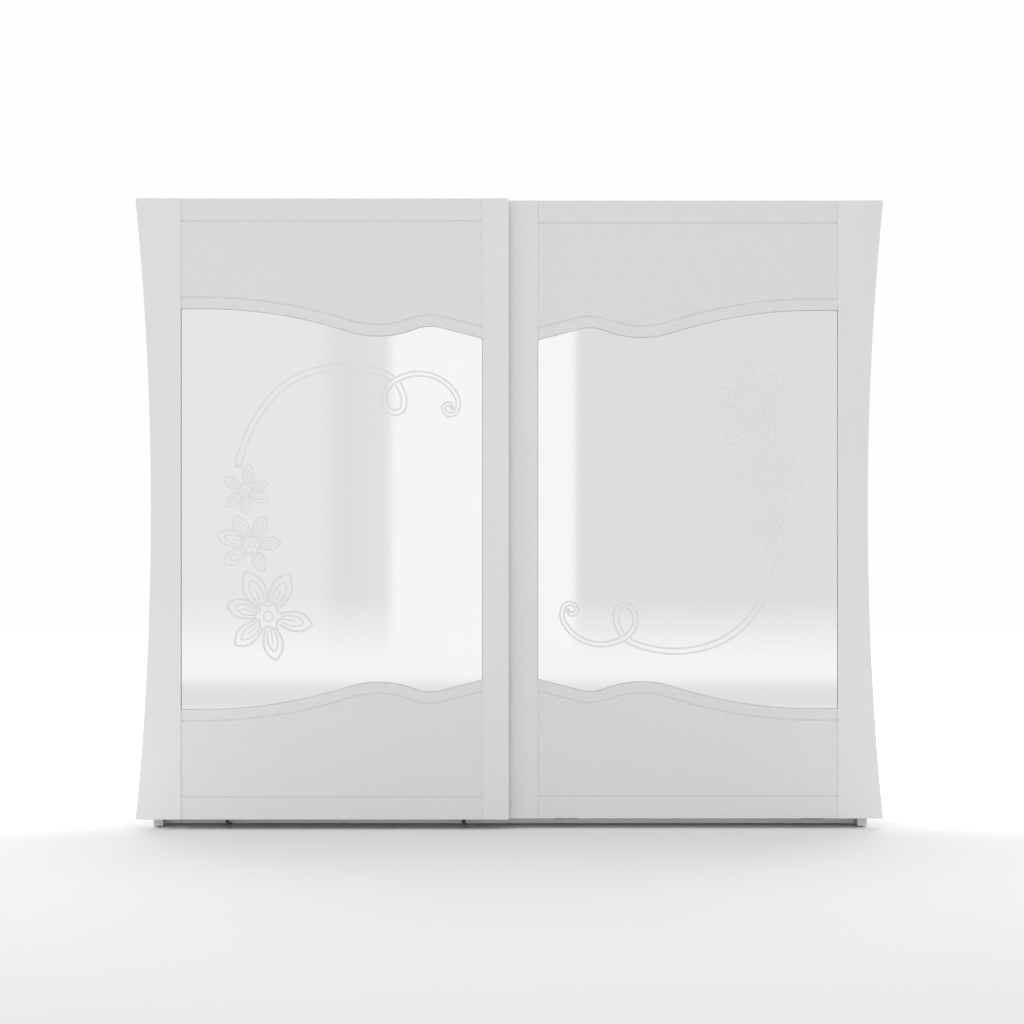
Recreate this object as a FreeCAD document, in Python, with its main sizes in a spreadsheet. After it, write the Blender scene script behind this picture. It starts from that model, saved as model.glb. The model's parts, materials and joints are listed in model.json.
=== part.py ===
import FreeCAD, Part
import math
import os
import re
from types import SimpleNamespace

# Sliding door wardrobe: a carcass with two bays, and two shaped doors with mirrors that hang from a
# double track on the roof and are guided by a double track under the bottom panel.
# X runs from left to right as seen from the front, Y from front to back, Z up. The origin is on the
# floor, in the middle of the wardrobe's width and depth. All sizes are in millimetres.

doc = FreeCAD.newDocument("SlidingDoorWardrobe")
sheet = doc.addObject("Spreadsheet::Sheet", "Sizes")

sizes = {
    # doors
    "half_width": (1425, "middle of the wardrobe to the outer end of a door"),
    "half_depth": (345, "middle of the wardrobe to the front door's face, and to its back"),
    "door_low": (38, "lower edge of the doors above the floor"),
    "door_high": (2400, "upper edge of the doors above the floor"),
    "waist_hollow": (59, "how far a door's outer edge curves in at half height"),
    "outer_joint": (1252, "middle to the joint of outer stile and panels"),
    "inner_joint": (105, "middle to the joint of inner stile and panels"),
    "front_edge": (5, "middle to the front door's inner edge"),
    "rear_edge": (30, "how far the rear door reaches behind the front door, past the middle"),
    "door_pitch": (44, "face of the front door to face of the rear door"),
    "stile_thick": (33, "thickness of the stiles"),
    "stile_chamfer": (1.5, "chamfer round the face of a stile"),
    "panel_setback": (4, "stile face to panel face"),
    "panel_thick": (12, "thickness of the shaped panels"),
    "mirror_setback": (11, "stile face to mirror face"),
    "mirror_thick": (4, "thickness of the mirrors"),
    "mirror_gap": (1, "gap round a mirror"),
    "tape_thick": (1, "thickness of the mirror tape"),
    "tape_width": (25, "width of one strip of mirror tape"),
    "tape_high": (1100, "height of one strip of mirror tape"),
    "tape_strips": (4, "number of strips of tape behind a mirror"),
    "backing_thick": (17, "thickness of the board behind panels and mirror"),
    "groove_inset": (85, "door's end to the straight groove"),
    "bead_inset": (43, "mirror's edge to the curved groove"),
    "groove_width": (2, "width of the grooves"),
    "groove_deep": (1.5, "depth of the grooves"),
    # shaped edge of the mirror, from the outer joint to the inner joint
    "edge_rise": (762, "half the mirror's height at the outer joint"),
    "edge_lead": (95, "level start"),
    "crown_radius": (1720, "radius of the long fall"),
    "crown_turn": (16.47, "degrees that the long fall turns"),
    "slope_run": (60, "straight run after the long fall"),
    "dip_radius": (385, "radius of the hollow"),
    "dip_turn": (21.43, "degrees above level at the hollow's end"),
    "crest_radius": (154, "radius of the crest"),
    "crest_turn": (14.55, "degrees below level at the crest's end"),
    # carcass
    "carcass_half": (1370, "middle to the outer face of a side panel"),
    "carcass_front": (255, "middle of the depth to the carcass's front edges"),
    "carcass_high": (2360, "top of the carcass above the floor"),
    "side_thick": (36, "thickness of the side panels"),
    "shelf_thick": (25, "thickness of top, bottom, divider and shelves"),
    "glide_high": (5, "height of the glides under the side panels"),
    "glide_radius": (15, "radius of the glides"),
    "bottom_low": (80, "underside of the bottom panel above the floor"),
    "plinth_setback": (90, "carcass front to plinth face"),
    "plinth_thick": (18, "thickness of the plinths"),
    "plinth_gap": (6, "gap between plinth and floor"),
    "back_thick": (6, "thickness of the back panels"),
    "back_inset": (12, "rear edge of the sides to the back panels"),
    "back_groove": (8, "depth of the grooves that hold the back panels"),
    "back_joint": (0.5, "middle to the back panels' inner edges"),
    "strip_thick": (3, "thickness of the strip over the back panels' joint"),
    "edge_round": (1, "rounding of the boards' edges"),
    "shelf_low": (1990, "underside of the hat shelves above the floor"),
    "shelf_setback": (30, "carcass front to the shelves' front edge"),
    "shelf_play": (1, "gap at each end of a hat shelf"),
    "rail_axis": (1930, "axis of the hanging rails above the floor"),
    "rail_radius": (12.5, "outer radius of the hanging rails"),
    "rail_wall": (1.5, "wall of the hanging rails"),
    "socket_radius": (25, "radius of a rail socket's flange"),
    "socket_plate": (3, "thickness of a rail socket's flange"),
    "socket_deep": (15, "depth of a rail socket"),
    "hook_width": (20, "width of the hooks that carry the rails' middles"),
    "hook_strap": (4, "thickness of a hook's strap"),
    "hook_plate": (40, "length of a hook's plate under the shelf"),
    "foot_radius": (22, "radius of a levelling foot"),
    "foot_sole": (6, "thickness of a levelling foot's sole"),
    "foot_dome": (2, "rise from a levelling foot's sole to its stem"),
    "foot_stem": (6, "radius of a levelling foot's stem"),
    "foot_socket": (48, "underside of a levelling foot's socket above the floor"),
    "foot_flare": (4, "chamfer round the underside of a levelling foot's socket"),
    "foot_spacing": (650, "distance between levelling feet along the width"),
    # tracks and running gear
    "track_half": (1330, "half the length of the tracks"),
    "track_base": (2.5, "thickness of the tracks' base"),
    "rail_lift": (8, "height of the running rails above the roof"),
    "rail_width": (4, "width of the running rails"),
    "rail_ease": (1, "chamfer along the running rails"),
    "track_front": (7, "rear door's rail to the top track's front edge"),
    "track_rear": (20, "front door's rail to the top track's rear edge"),
    "track_lip": (4, "height of the top track's rear lip above its base"),
    "track_lip_thick": (2, "thickness of the top track's rear lip"),
    "rear_rail": (243, "middle of the depth to the rear door's rail"),
    "front_rail": (200, "middle of the depth to the front door's rail"),
    "tread_radius": (12, "rolling radius of a wheel"),
    "wheel_radius": (14, "outer radius of a wheel"),
    "wheel_width": (12, "width of a wheel"),
    "tread_width": (5, "width of a wheel's tread"),
    "wheel_ease": (1, "chamfer of wheels and rollers"),
    "running_gap": (0.3, "gap between wheel or roller and track"),
    "axle_radius": (3, "radius of axles and guide pins"),
    "axle_play": (0.05, "radial play of wheels and rollers on their axles"),
    "collar_radius": (5, "radius of the collars and heads of axles"),
    "axle_head": (1.5, "thickness of the heads of axles and guide pins"),
    "plate_thick": (3, "thickness of the steel plates"),
    "hanger_outer": (1180, "middle to a door's outer hanger"),
    "hanger_inner": (180, "middle to a door's inner hanger"),
    "hanger_width": (90, "width of a hanger"),
    "hanger_long": (110, "height of a hanger's plate on the door"),
    "hanger_screw_high": (30, "doors' upper edge to a hanger's upper screws"),
    "hanger_screw_low": (90, "doors' upper edge to a hanger's lower screws"),
    "screw_share": (3, "width of a hanger or guide over its screws' distance from its middle"),
    "leg_offset": (15, "leg of a front door's hanger to its rail"),
    "arm_lift": (2, "gap between the door tops and the front door's arms"),
    "front_guide_outer": (1079, "middle to the front door's outer guide"),
    "front_guide_inner": (178, "middle to the front door's inner guide"),
    "rear_guide_outer": (1158, "middle to the rear door's outer guide"),
    "rear_guide_inner": (214, "middle to the rear door's inner guide"),
    "front_guide_width": (15, "width of the front door's guide arms"),
    "rear_guide_width": (94, "width of the rear door's guide plates"),
    "front_guide_low": (13, "underside of the front door's guide arms"),
    "rear_guide_low": (33, "underside of the rear door's guide plates"),
    "guide_top": (110, "top of the guides' legs on the doors"),
    "guide_screw_high": (12, "top of a guide's leg to its upper screws"),
    "guide_screw_low": (32, "top of a guide's leg to its lower screws"),
    "roller_radius": (8, "radius of the guide rollers"),
    "roller_low": (62, "underside of the guide rollers"),
    "roller_high": (12, "height of the guide rollers"),
    "rear_channel": (241, "middle of the depth to the rear door's channel"),
    "front_channel": (219, "middle of the depth to the front door's channel"),
    "fin_low": (60, "lower edge of the bottom track's fins"),
    "fin_thick": (2, "thickness of the bottom track's outer fins"),
    "bottom_track_back": (190, "middle of the depth to the bottom track's rear edge"),
    "track_screws": (7, "number of screws in each track"),
    "track_screw_inset": (50, "end of a track to its first screw"),
    "screw_radius": (2, "radius of the screws"),
    "screw_head": (4, "radius of the screws' heads"),
    "screw_cap": (2, "thickness of the screws' heads"),
    "screw_grip": (13, "depth of the screws in the wood"),
    "travel": (1330, "how far each door slides"),
    "stop_long": (30, "length of an end stop"),
    "stop_width": (10, "width of an end stop"),
    "brush_width": (6, "width of a dust brush's carrier"),
    "brush_base": (4, "thickness of a dust brush's carrier"),
    "cam_radius": (7.5, "radius of the cam fittings"),
    "cam_deep": (16, "depth of the cam fittings"),
    "cam_inset": (24, "end of a board to the cam's axis"),
    "bolt_radius": (3, "radius of the cam bolts"),
    "bolt_grip": (10, "depth of the cam bolts in the side panels"),
    "pin_radius": (2.5, "radius of the shelf pins"),
    "pin_long": (19, "length of the shelf pins"),
    "pin_grip": (9, "depth of the shelf pins in the boards"),
}
for row, (alias, (value, note)) in enumerate(sizes.items(), start=1):
    sheet.set(f"A{row}", note)
    sheet.set(f"B{row}", str(value))
    sheet.setAlias(f"B{row}", alias)
doc.recompute()
dim = SimpleNamespace(**{alias: float(sheet.get(alias)) for alias in sizes})

fitting_rows = (-150, 60, 270)  # Y of the cams, cam bolts and divider screws
glide_rows = (-200, 290)  # Y of the glides
foot_rows = (-100, 250)  # Y of the levelling feet
box_edges = range(1, 13)  # numbers of a box's twelve edges
plane_slack = 0.01  # how far an edge may lie off a face and still count as its rim
door_middle = (dim.door_low + dim.door_high) / 2
panel_width = dim.outer_joint - dim.inner_joint
wheel_axis = dim.carcass_high + dim.rail_lift + dim.tread_radius + dim.running_gap
parts = {}


# ---------------------------------------------------------------- helpers

def bound(text):
    """The expression with every name of a size turned into a reference to its cell."""
    return re.sub(r"[a-z]+(_[a-z]+)*", lambda word: "Sizes." + word.group(), text)


def bind(item, property_name, text):
    item.setExpression(property_name, bound(str(text)))


def place(item, x="0", y="0", z="0"):
    bind(item, "Placement.Base.x", x)
    bind(item, "Placement.Base.y", y)
    bind(item, "Placement.Base.z", z)
    return item


def keep(label, item):
    """Name the finished sub-part; the name is its file's name too."""
    item.Label = label
    parts[label] = item
    return item


def handed(side, near, far):
    """The X range from near to far, measured from the middle towards the given side."""
    return (near, far) if side > 0 else (f"-({far})", f"-({near})")


def centred(middle, width):
    return (f"{middle} - ({width}) / 2", f"{middle} + ({width}) / 2")


def slab(name, across, deep, high):
    """A box between three pairs of expressions, along X, Y and Z."""
    box = doc.addObject("Part::Box", name)
    for property_name, (low, top) in zip(("Length", "Width", "Height"), (across, deep, high)):
        bind(box, property_name, f"({top}) - ({low})")
    return place(box, across[0], deep[0], high[0])


def rod(name, axis, radius, length, x, y, z):
    """A cylinder along the given axis, from the point x, y, z."""
    turns = {"X": ((0, 1, 0), 90), "Y": ((1, 0, 0), -90), "Z": ((0, 0, 1), 0)}
    direction, angle = turns[axis]
    cylinder = doc.addObject("Part::Cylinder", name)
    cylinder.Placement.Rotation = FreeCAD.Rotation(FreeCAD.Vector(*direction), angle)
    bind(cylinder, "Radius", radius)
    bind(cylinder, "Height", length)
    return place(cylinder, x, y, z)


def group(name, items):
    compound = doc.addObject("Part::Compound", name)
    compound.Links = list(items)
    return compound


def joined(name, items):
    fuse = doc.addObject("Part::MultiFuse", name)
    fuse.Shapes = list(items)
    return fuse


def cut(name, blank, tools):
    """The blank with all tools taken out of it."""
    difference = doc.addObject("Part::Cut", name)
    difference.Base = blank
    difference.Tool = group(name + "_tools", tools)
    return difference


def eased(name, box):
    """A board with all twelve edges rounded."""
    doc.recompute()
    fillet = doc.addObject("Part::Fillet", name)
    fillet.Base = box
    fillet.Edges = [(edge, dim.edge_round, dim.edge_round) for edge in box_edges]
    return fillet


def board(name, across, deep, high):
    return eased(name, slab(name + "_blank", across, deep, high))


def sketched_body(name, plane_role, outline):
    body = doc.addObject("PartDesign::Body", name)
    plane = next(item for item in body.Origin.OriginFeatures if item.Role == plane_role)
    sketch = body.newObject("Sketcher::SketchObject", name + "_sketch")
    sketch.AttachmentSupport = (plane, [""])
    sketch.MapMode = "FlatFace"
    sketch.addGeometry(outline, False)
    return body, sketch


def padded(name, plane_role, outline, length):
    """A body padded from one sketch: along -Y from the XZ plane, along +X from the YZ plane."""
    body, sketch = sketched_body(name, plane_role, outline)
    pad = body.newObject("PartDesign::Pad", name + "_pad")
    pad.Profile = sketch
    bind(pad, "Length", length)
    sketch.Visibility = False
    return body


def turned(name, profile, direction=(0, 0, 1), angle=0):
    """A body turned about its own Z axis from radius and height pairs, then laid over."""
    body, sketch = sketched_body(name, "XZ_Plane", polygon(profile))
    revolution = body.newObject("PartDesign::Revolution", name + "_revolution")
    revolution.Profile = sketch
    revolution.ReferenceAxis = (sketch, ["V_Axis"])
    revolution.Angle = 360
    body.Placement.Rotation = FreeCAD.Rotation(FreeCAD.Vector(*direction), angle)
    return body


def flat_point(point):
    return FreeCAD.Vector(point[0], point[1], 0)


def polygon(points):
    """Closed outline of straight lines in a sketch's own plane."""
    following = points[1:] + points[:1]
    return [Part.LineSegment(flat_point(a), flat_point(b)) for a, b in zip(points, following)]


def chamfered_face(name, body, size):
    """Chamfer the edges round the front face of a body padded along -Y."""
    doc.recompute()
    pad = body.Tip
    front = pad.Shape.BoundBox.YMin
    rim = [f"Edge{number}" for number, edge in enumerate(pad.Shape.Edges, start=1)
           if edge.BoundBox.YMax < front + plane_slack]
    chamfer = body.newObject("PartDesign::Chamfer", name + "_chamfer")
    chamfer.Base = (pad, rim)
    bind(chamfer, "Size", size)
    body.Tip = chamfer
    return body


def grooved(name, body, outline, thickness):
    """Cut a shallow groove into the front face of a body padded along -Y."""
    sketch = body.newObject("Sketcher::SketchObject", name + "_sketch")
    plane = next(item for item in body.Origin.OriginFeatures if item.Role == "XZ_Plane")
    sketch.AttachmentSupport = (plane, [""])
    sketch.MapMode = "FlatFace"
    sketch.AttachmentOffset = FreeCAD.Placement(FreeCAD.Vector(0, 0, thickness), FreeCAD.Rotation())
    sketch.addGeometry(outline, False)
    doc.recompute()
    before = body.Shape.Volume
    pocket = body.newObject("PartDesign::Pocket", name)
    pocket.Profile = sketch
    bind(pocket, "Length", "groove_deep")
    doc.recompute()
    if body.Shape.Volume >= before:
        raise RuntimeError(f"{name} cuts nothing")
    return body


# ---------------------------------------------------------------- shaped edge of the mirrors

def edge_path(offset, inset):
    """The mirror's shaped edge as lines and arcs, moved by offset into the panel.

    Distances run from the outer joint towards the inner one, heights from the door's middle. The
    edge starts level, falls in a long arc and a straight run, turns up through a hollow, goes over
    a crest and falls straight to the inner joint. Every piece is tangent to the next.
    """
    crown = math.radians(dim.crown_turn)
    dip = math.radians(dim.dip_turn)
    crest = math.radians(dim.crest_turn)
    moves = (
        (dim.edge_lead - inset, 0, 0),
        (0, dim.crown_radius + offset, -crown),
        (dim.slope_run, 0, 0),
        (0, dim.dip_radius - offset, crown + dip),
        (0, dim.crest_radius + offset, -dip - crest),
    )
    along, rise, heading = inset, dim.edge_rise + offset, 0.0
    path = []
    for run, radius, turn in moves:
        points = [(along, rise)]
        if run:
            points.append((along + run * math.cos(heading), rise + run * math.sin(heading)))
        else:
            swing = math.copysign(radius, turn)
            centre = (along - swing * math.sin(heading), rise + swing * math.cos(heading))
            for part_turn in (turn / 2, turn):
                angle = heading + part_turn
                points.append((centre[0] + swing * math.sin(angle), centre[1] - swing * math.cos(angle)))
            heading += turn
        along, rise = points[-1]
        path.append(points)
    end = panel_width - inset
    path.append([(along, rise), (end, rise + (end - along) * math.tan(heading))])
    return path


def shaped_edge(side, up, offset, inset=0.0):
    """Sketch curves of a mirror edge above (up = 1) or below (up = -1) a door's middle, with its
    outer and inner ends."""
    curves = []
    ends = []
    for points in edge_path(offset, inset):
        placed = [FreeCAD.Vector(side * (dim.outer_joint - along), door_middle + up * rise, 0)
                  for along, rise in points]
        curves.append(Part.Arc(*placed) if len(placed) == 3 else Part.LineSegment(*placed))
        ends += [placed[0], placed[-1]]
    return curves, ends[0], ends[-1]


def between_edges(first, second):
    """Closed outline from two shaped edges and the straight lines that join their ends."""
    joins = [Part.LineSegment(first[1], second[1]), Part.LineSegment(first[2], second[2])]
    return first[0] + second[0] + joins


# ---------------------------------------------------------------- carcass

inner_face = "(carcass_half - side_thick)"
back_plane = "(half_depth - back_inset - back_thick)"
front_plane = "-carcass_front"
divider_face = "(shelf_thick / 2)"
inner_width = (f"-{inner_face}", inner_face)
sides = (("left", -1), ("right", 1))
levels = (("top", "carcass_high - shelf_thick"), ("bottom", "bottom_low"))


def signed(side, distance):
    return f"{side} * ({distance})"


def make_cams():
    """Cam fittings: housings in the ends of the top and bottom panels, bolts in the sides."""
    cams = {"top": [], "bottom": []}
    bolts = {"top": [], "bottom": []}
    for side_name, side in sides:
        for level, panel_low in levels:
            cam_low = "carcass_high - cam_deep" if level == "top" else "bottom_low"
            for y in fitting_rows:
                name = f"{side_name}_{level}_{y}"
                cams[level].append(rod("cam_" + name, "Z", "cam_radius", "cam_deep",
                                       signed(side, f"{inner_face} - cam_inset"), y, cam_low))
                low, high = handed(side, f"{inner_face} - cam_inset + cam_radius",
                                   f"{inner_face} + bolt_grip")
                bolts[level].append(rod("bolt_" + name, "X", "bolt_radius", f"({high}) - ({low})",
                                        low, y, f"{panel_low} + shelf_thick / 2"))
    keep("cam_housings", group("cam_housings", cams["top"] + cams["bottom"]))
    keep("cam_bolts", group("cam_bolts", bolts["top"] + bolts["bottom"]))
    return cams, bolts


def make_divider_screws():
    """Long screws through the top and bottom panels into the divider's ends."""
    long = "(2 * shelf_thick)"
    screws = {"top": [], "bottom": []}
    for level, low in (("top", f"carcass_high - {long}"), ("bottom", "bottom_low")):
        for y in fitting_rows:
            screws[level].append(rod(f"divider_screw_{level}_{y}", "Z", "bolt_radius", long, "0", y, low))
    keep("divider_screws", group("divider_screws", screws["top"] + screws["bottom"]))
    return screws


def make_shelf_pins():
    """Pins that carry the hat shelves, half in a side panel or in the divider."""
    pins = {"left": [], "right": [], "divider": []}
    for side_name, side in sides:
        walls = ((side_name, inner_face, "pin_grip - pin_long", "pin_grip"),
                 ("divider", divider_face, "-pin_grip", "pin_long - pin_grip"))
        for wall, face, near, far in walls:
            low, high = handed(side, f"{face} + {near}", f"{face} + {far}")
            for y in (fitting_rows[0], fitting_rows[-1]):
                pins[wall].append(rod(f"pin_{side_name}_{wall}_{y}", "X", "pin_radius", "pin_long",
                                      low, y, "shelf_low - pin_radius"))
    keep("shelf_pins", group("shelf_pins", pins["left"] + pins["right"] + pins["divider"]))
    return pins


def track_screw_places():
    """X of the screws, spread evenly along a track."""
    first = dim.track_screw_inset - dim.track_half
    pitch = -2 * first / (dim.track_screws - 1)
    return [first + pitch * number for number in range(int(dim.track_screws))]


def make_track_screws():
    """Screws that hold the two tracks to the top and bottom panels: shanks, then heads."""
    shanks = {"top": [], "bottom": []}
    screws = []
    top_y = "-(rear_rail + front_rail) / 2"
    bottom_y = "-(bottom_track_back + front_channel - roller_radius) / 2"
    for number, x in enumerate(track_screw_places()):
        shank = rod(f"top_shank_{number}", "Z", "screw_radius", "screw_grip + track_base",
                    x, top_y, "carcass_high - screw_grip")
        head = rod(f"top_head_{number}", "Z", "screw_head", "screw_cap",
                   x, top_y, "carcass_high + track_base")
        shanks["top"].append(shank)
        screws.append(joined(f"top_track_screw_{number}", (shank, head)))
        shank = rod(f"bottom_shank_{number}", "Z", "screw_radius", "screw_grip + track_base",
                    x, bottom_y, "bottom_low - track_base")
        head = rod(f"bottom_head_{number}", "Z", "screw_head", "screw_cap",
                   x, bottom_y, "bottom_low - track_base - screw_cap")
        shanks["bottom"].append(shank)
        screws.append(joined(f"bottom_track_screw_{number}", (shank, head)))
    keep("track_screws", group("track_screws", screws))
    return shanks


def make_panels():
    """The boards of the carcass, with the holes for their fittings."""
    cams, bolts = make_cams()
    screws = make_divider_screws()
    pins = make_shelf_pins()
    shanks = make_track_screws()
    rear = "half_depth - back_inset"
    for side_number, (side_name, side) in enumerate(sides):
        blank = board(f"{side_name}_side", handed(side, inner_face, "carcass_half"),
                      (front_plane, "half_depth"), ("glide_high", "carcass_high"))
        groove = slab(f"{side_name}_back_groove", handed(side, inner_face, f"{inner_face} + back_groove"),
                      (back_plane, rear), ("bottom_low", "carcass_high"))
        first = side_number * len(fitting_rows)
        own_bolts = [bolt for level, _ in levels for bolt in bolts[level][first:first + len(fitting_rows)]]
        keep(f"{side_name}_side_panel",
             cut(f"{side_name}_side_panel", blank, [groove] + own_bolts + pins[side_name]))
    for level, low in levels:
        blank = board(f"{level}_board", inner_width, (front_plane, back_plane),
                      (low, f"{low} + shelf_thick"))
        keep(f"{level}_panel", cut(f"{level}_panel", blank,
                                   cams[level] + bolts[level] + screws[level] + shanks[level]))
    blank = board("divider_board", (f"-{divider_face}", divider_face), (front_plane, back_plane),
                  ("bottom_low + shelf_thick", "carcass_high - shelf_thick"))
    keep("divider", cut("divider", blank, screws["top"] + screws["bottom"] + pins["divider"]))
    for name, front in (("front_plinth", "-carcass_front + plinth_setback"),
                        ("rear_plinth", f"{back_plane} - plinth_thick")):
        keep(name, board(name, inner_width, (front, f"{front} + plinth_thick"),
                         ("plinth_gap", "bottom_low")))
    for side_name, side in sides:
        keep(f"{side_name}_back_panel",
             slab(f"{side_name}_back_panel", handed(side, "back_joint", f"{inner_face} + back_groove"),
                  (back_plane, rear), ("bottom_low", "carcass_high")))
    keep("back_joint_strip", slab("back_joint_strip", ("-shelf_thick", "shelf_thick"),
                                  (rear, f"{rear} + strip_thick"), ("bottom_low", "carcass_high")))


def make_interior():
    """Hat shelves and hanging rails of the two bays, with the rails' sockets and hooks."""
    sockets = []
    hooks = []
    for side_name, side in sides:
        keep(f"{side_name}_hat_shelf",
             board(f"{side_name}_hat_shelf",
                   handed(side, f"{divider_face} + shelf_play", f"{inner_face} - shelf_play"),
                   (f"{front_plane} + shelf_setback", back_plane),
                   ("shelf_low", "shelf_low + shelf_thick")))
        low, high = handed(side, f"{divider_face} + socket_plate", f"{inner_face} - socket_plate")
        long = f"({high}) - ({low})"
        tube = rod(f"{side_name}_tube", "X", "rail_radius", long, low, "0", "rail_axis")
        hollow = rod(f"{side_name}_tube_hollow", "X", "rail_radius - rail_wall", long,
                     low, "0", "rail_axis")
        keep(f"{side_name}_hanging_rail", cut(f"{side_name}_hanging_rail", tube, [hollow]))
        ends = (("inner", divider_face, f"{divider_face} + socket_plate"),
                ("outer", f"{inner_face} - socket_plate", f"{inner_face} - socket_deep"))
        for end, near, ring_near in ends:
            name = f"{side_name}_{end}_socket"
            low = handed(side, near, f"{near} + socket_plate")[0]
            flange = rod(name + "_flange", "X", "socket_radius", "socket_plate", low, "0", "rail_axis")
            low = handed(side, ring_near, f"{ring_near} + socket_deep - socket_plate")[0]
            ring = rod(name + "_ring", "X", "rail_radius + plate_thick", "socket_deep - socket_plate",
                       low, "0", "rail_axis")
            bore = rod(name + "_bore", "X", "rail_radius", "socket_deep - socket_plate",
                       low, "0", "rail_axis")
            sockets.append(joined(name, (flange, cut(name + "_cup", ring, [bore]))))
        middle = signed(side, f"({divider_face} + {inner_face}) / 2")
        wide = centred(middle, "hook_width")
        strap = slab(f"{side_name}_strap", wide, centred("0", "hook_strap"),
                     ("rail_axis + rail_radius + plate_thick / 2", "shelf_low"))
        pad = slab(f"{side_name}_hook_plate", wide, centred("0", "hook_plate"),
                   ("shelf_low - plate_thick", "shelf_low"))
        eye = rod(f"{side_name}_eye", "X", "rail_radius + plate_thick", "hook_width",
                  wide[0], "0", "rail_axis")
        bore = rod(f"{side_name}_eye_bore", "X", "rail_radius", "hook_width", wide[0], "0", "rail_axis")
        hooks.append(cut(f"{side_name}_rail_hook", joined(f"{side_name}_hook", (strap, pad, eye)), [bore]))
    keep("rail_sockets", group("rail_sockets", sockets))
    keep("rail_hooks", group("rail_hooks", hooks))


def make_feet():
    """Glides under the side panels and levelling feet under the bottom panel."""
    glides = []
    for side_name, side in sides:
        for y in glide_rows:
            glides.append(rod(f"glide_{side_name}_{y}", "Z", "glide_radius", "glide_high",
                              signed(side, "carcass_half - side_thick / 2"), y, "0"))
    keep("floor_glides", group("floor_glides", glides))
    profile = [(0, 0), (dim.foot_radius, 0), (dim.foot_radius, dim.foot_sole),
               (dim.foot_stem, dim.foot_sole + dim.foot_dome), (dim.foot_stem, dim.foot_socket),
               (dim.foot_radius - dim.foot_flare, dim.foot_socket + dim.foot_flare),
               (dim.foot_radius, dim.bottom_low), (0, dim.bottom_low)]
    feet = []
    for column in (-1, 0, 1):
        for y in foot_rows:
            foot = turned(f"foot_{column}_{y}", profile)
            feet.append(place(foot, f"{column} * foot_spacing", y, "0"))
    keep("levelling_feet", group("levelling_feet", feet))


# ---------------------------------------------------------------- tracks

def make_top_track():
    """Aluminium track on the roof with two rounded running rails, and its four end stops."""
    rail_top = dim.rail_lift
    half = dim.rail_width / 2
    ease = dim.rail_ease
    base = dim.track_base
    front = -dim.rear_rail - dim.track_front
    rear = -dim.front_rail + dim.track_rear
    lip_front = rear - dim.track_lip_thick
    profile = [(front, 0), (rear, 0), (rear, base + dim.track_lip), (lip_front, base + dim.track_lip),
               (lip_front, base)]
    for axis in (-dim.front_rail, -dim.rear_rail):
        profile += [(axis + half, base), (axis + half, rail_top - ease), (axis + half - ease, rail_top),
                    (axis - half + ease, rail_top), (axis - half, rail_top - ease), (axis - half, base)]
    profile.append((front, base))
    track = place(padded("top_track_bar", "YZ_Plane", polygon(profile), "2 * track_half"),
                  "-track_half", "0", "carcass_high")
    holes = [rod(f"top_track_hole_{number}", "Z", "screw_radius", "track_base", x,
                 "-(rear_rail + front_rail) / 2", "carcass_high")
             for number, x in enumerate(track_screw_places())]
    keep("top_track", cut("top_track", track, holes))
    stops = []
    stop_low = "carcass_high + track_base"
    for rail_name, rail, closed in (("front", "front_rail", -1), ("rear", "rear_rail", 1)):
        reach = {closed: "hanger_outer", -closed: "travel - hanger_inner"}
        for side in (-1, 1):
            near = f"{reach[side]} + wheel_radius + running_gap"
            name = f"{rail_name}_stop_{'left' if side < 0 else 'right'}"
            block = slab(name + "_block", handed(side, near, f"{near} + stop_long"),
                         centred(f"-{rail}", "stop_width"),
                         (stop_low, "carcass_high + rail_lift + wheel_radius"))
            slot = slab(name + "_slot", handed(side, near, f"{near} + stop_long"),
                        centred(f"-{rail}", "rail_width"), (stop_low, "carcass_high + rail_lift"))
            stops.append(cut(name, block, [slot]))
    keep("end_stops", group("end_stops", stops))


def make_bottom_track():
    """Aluminium track under the bottom panel with a channel for each door's guide rollers."""
    reach = dim.roller_radius + dim.running_gap
    low = dim.fin_low - dim.bottom_low
    base = -dim.track_base
    front = -dim.rear_channel - reach - dim.fin_thick
    rear = -dim.bottom_track_back
    profile = [(front, 0), (front, low), (front + dim.fin_thick, low), (front + dim.fin_thick, base),
               (-dim.rear_channel + reach, base), (-dim.rear_channel + reach, low),
               (-dim.front_channel - reach, low), (-dim.front_channel - reach, base),
               (-dim.front_channel + reach, base), (-dim.front_channel + reach, low),
               (-dim.front_channel + reach + dim.fin_thick, low),
               (-dim.front_channel + reach + dim.fin_thick, base), (rear, base), (rear, 0)]
    track = place(padded("bottom_track_bar", "YZ_Plane", polygon(profile), "2 * track_half"),
                  "-track_half", "0", "bottom_low")
    holes = [rod(f"bottom_track_hole_{number}", "Z", "screw_radius", "track_base", x,
                 "-(bottom_track_back + front_channel - roller_radius) / 2", "bottom_low - track_base")
             for number, x in enumerate(track_screw_places())]
    keep("bottom_track", cut("bottom_track", track, holes))


# ---------------------------------------------------------------- doors

def door_outline(side, near, far):
    """An upright strip over the door's full height, between two distances from the middle."""
    return polygon([(side * near, dim.door_low), (side * far, dim.door_low),
                    (side * far, dim.door_high), (side * near, dim.door_high)])


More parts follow.
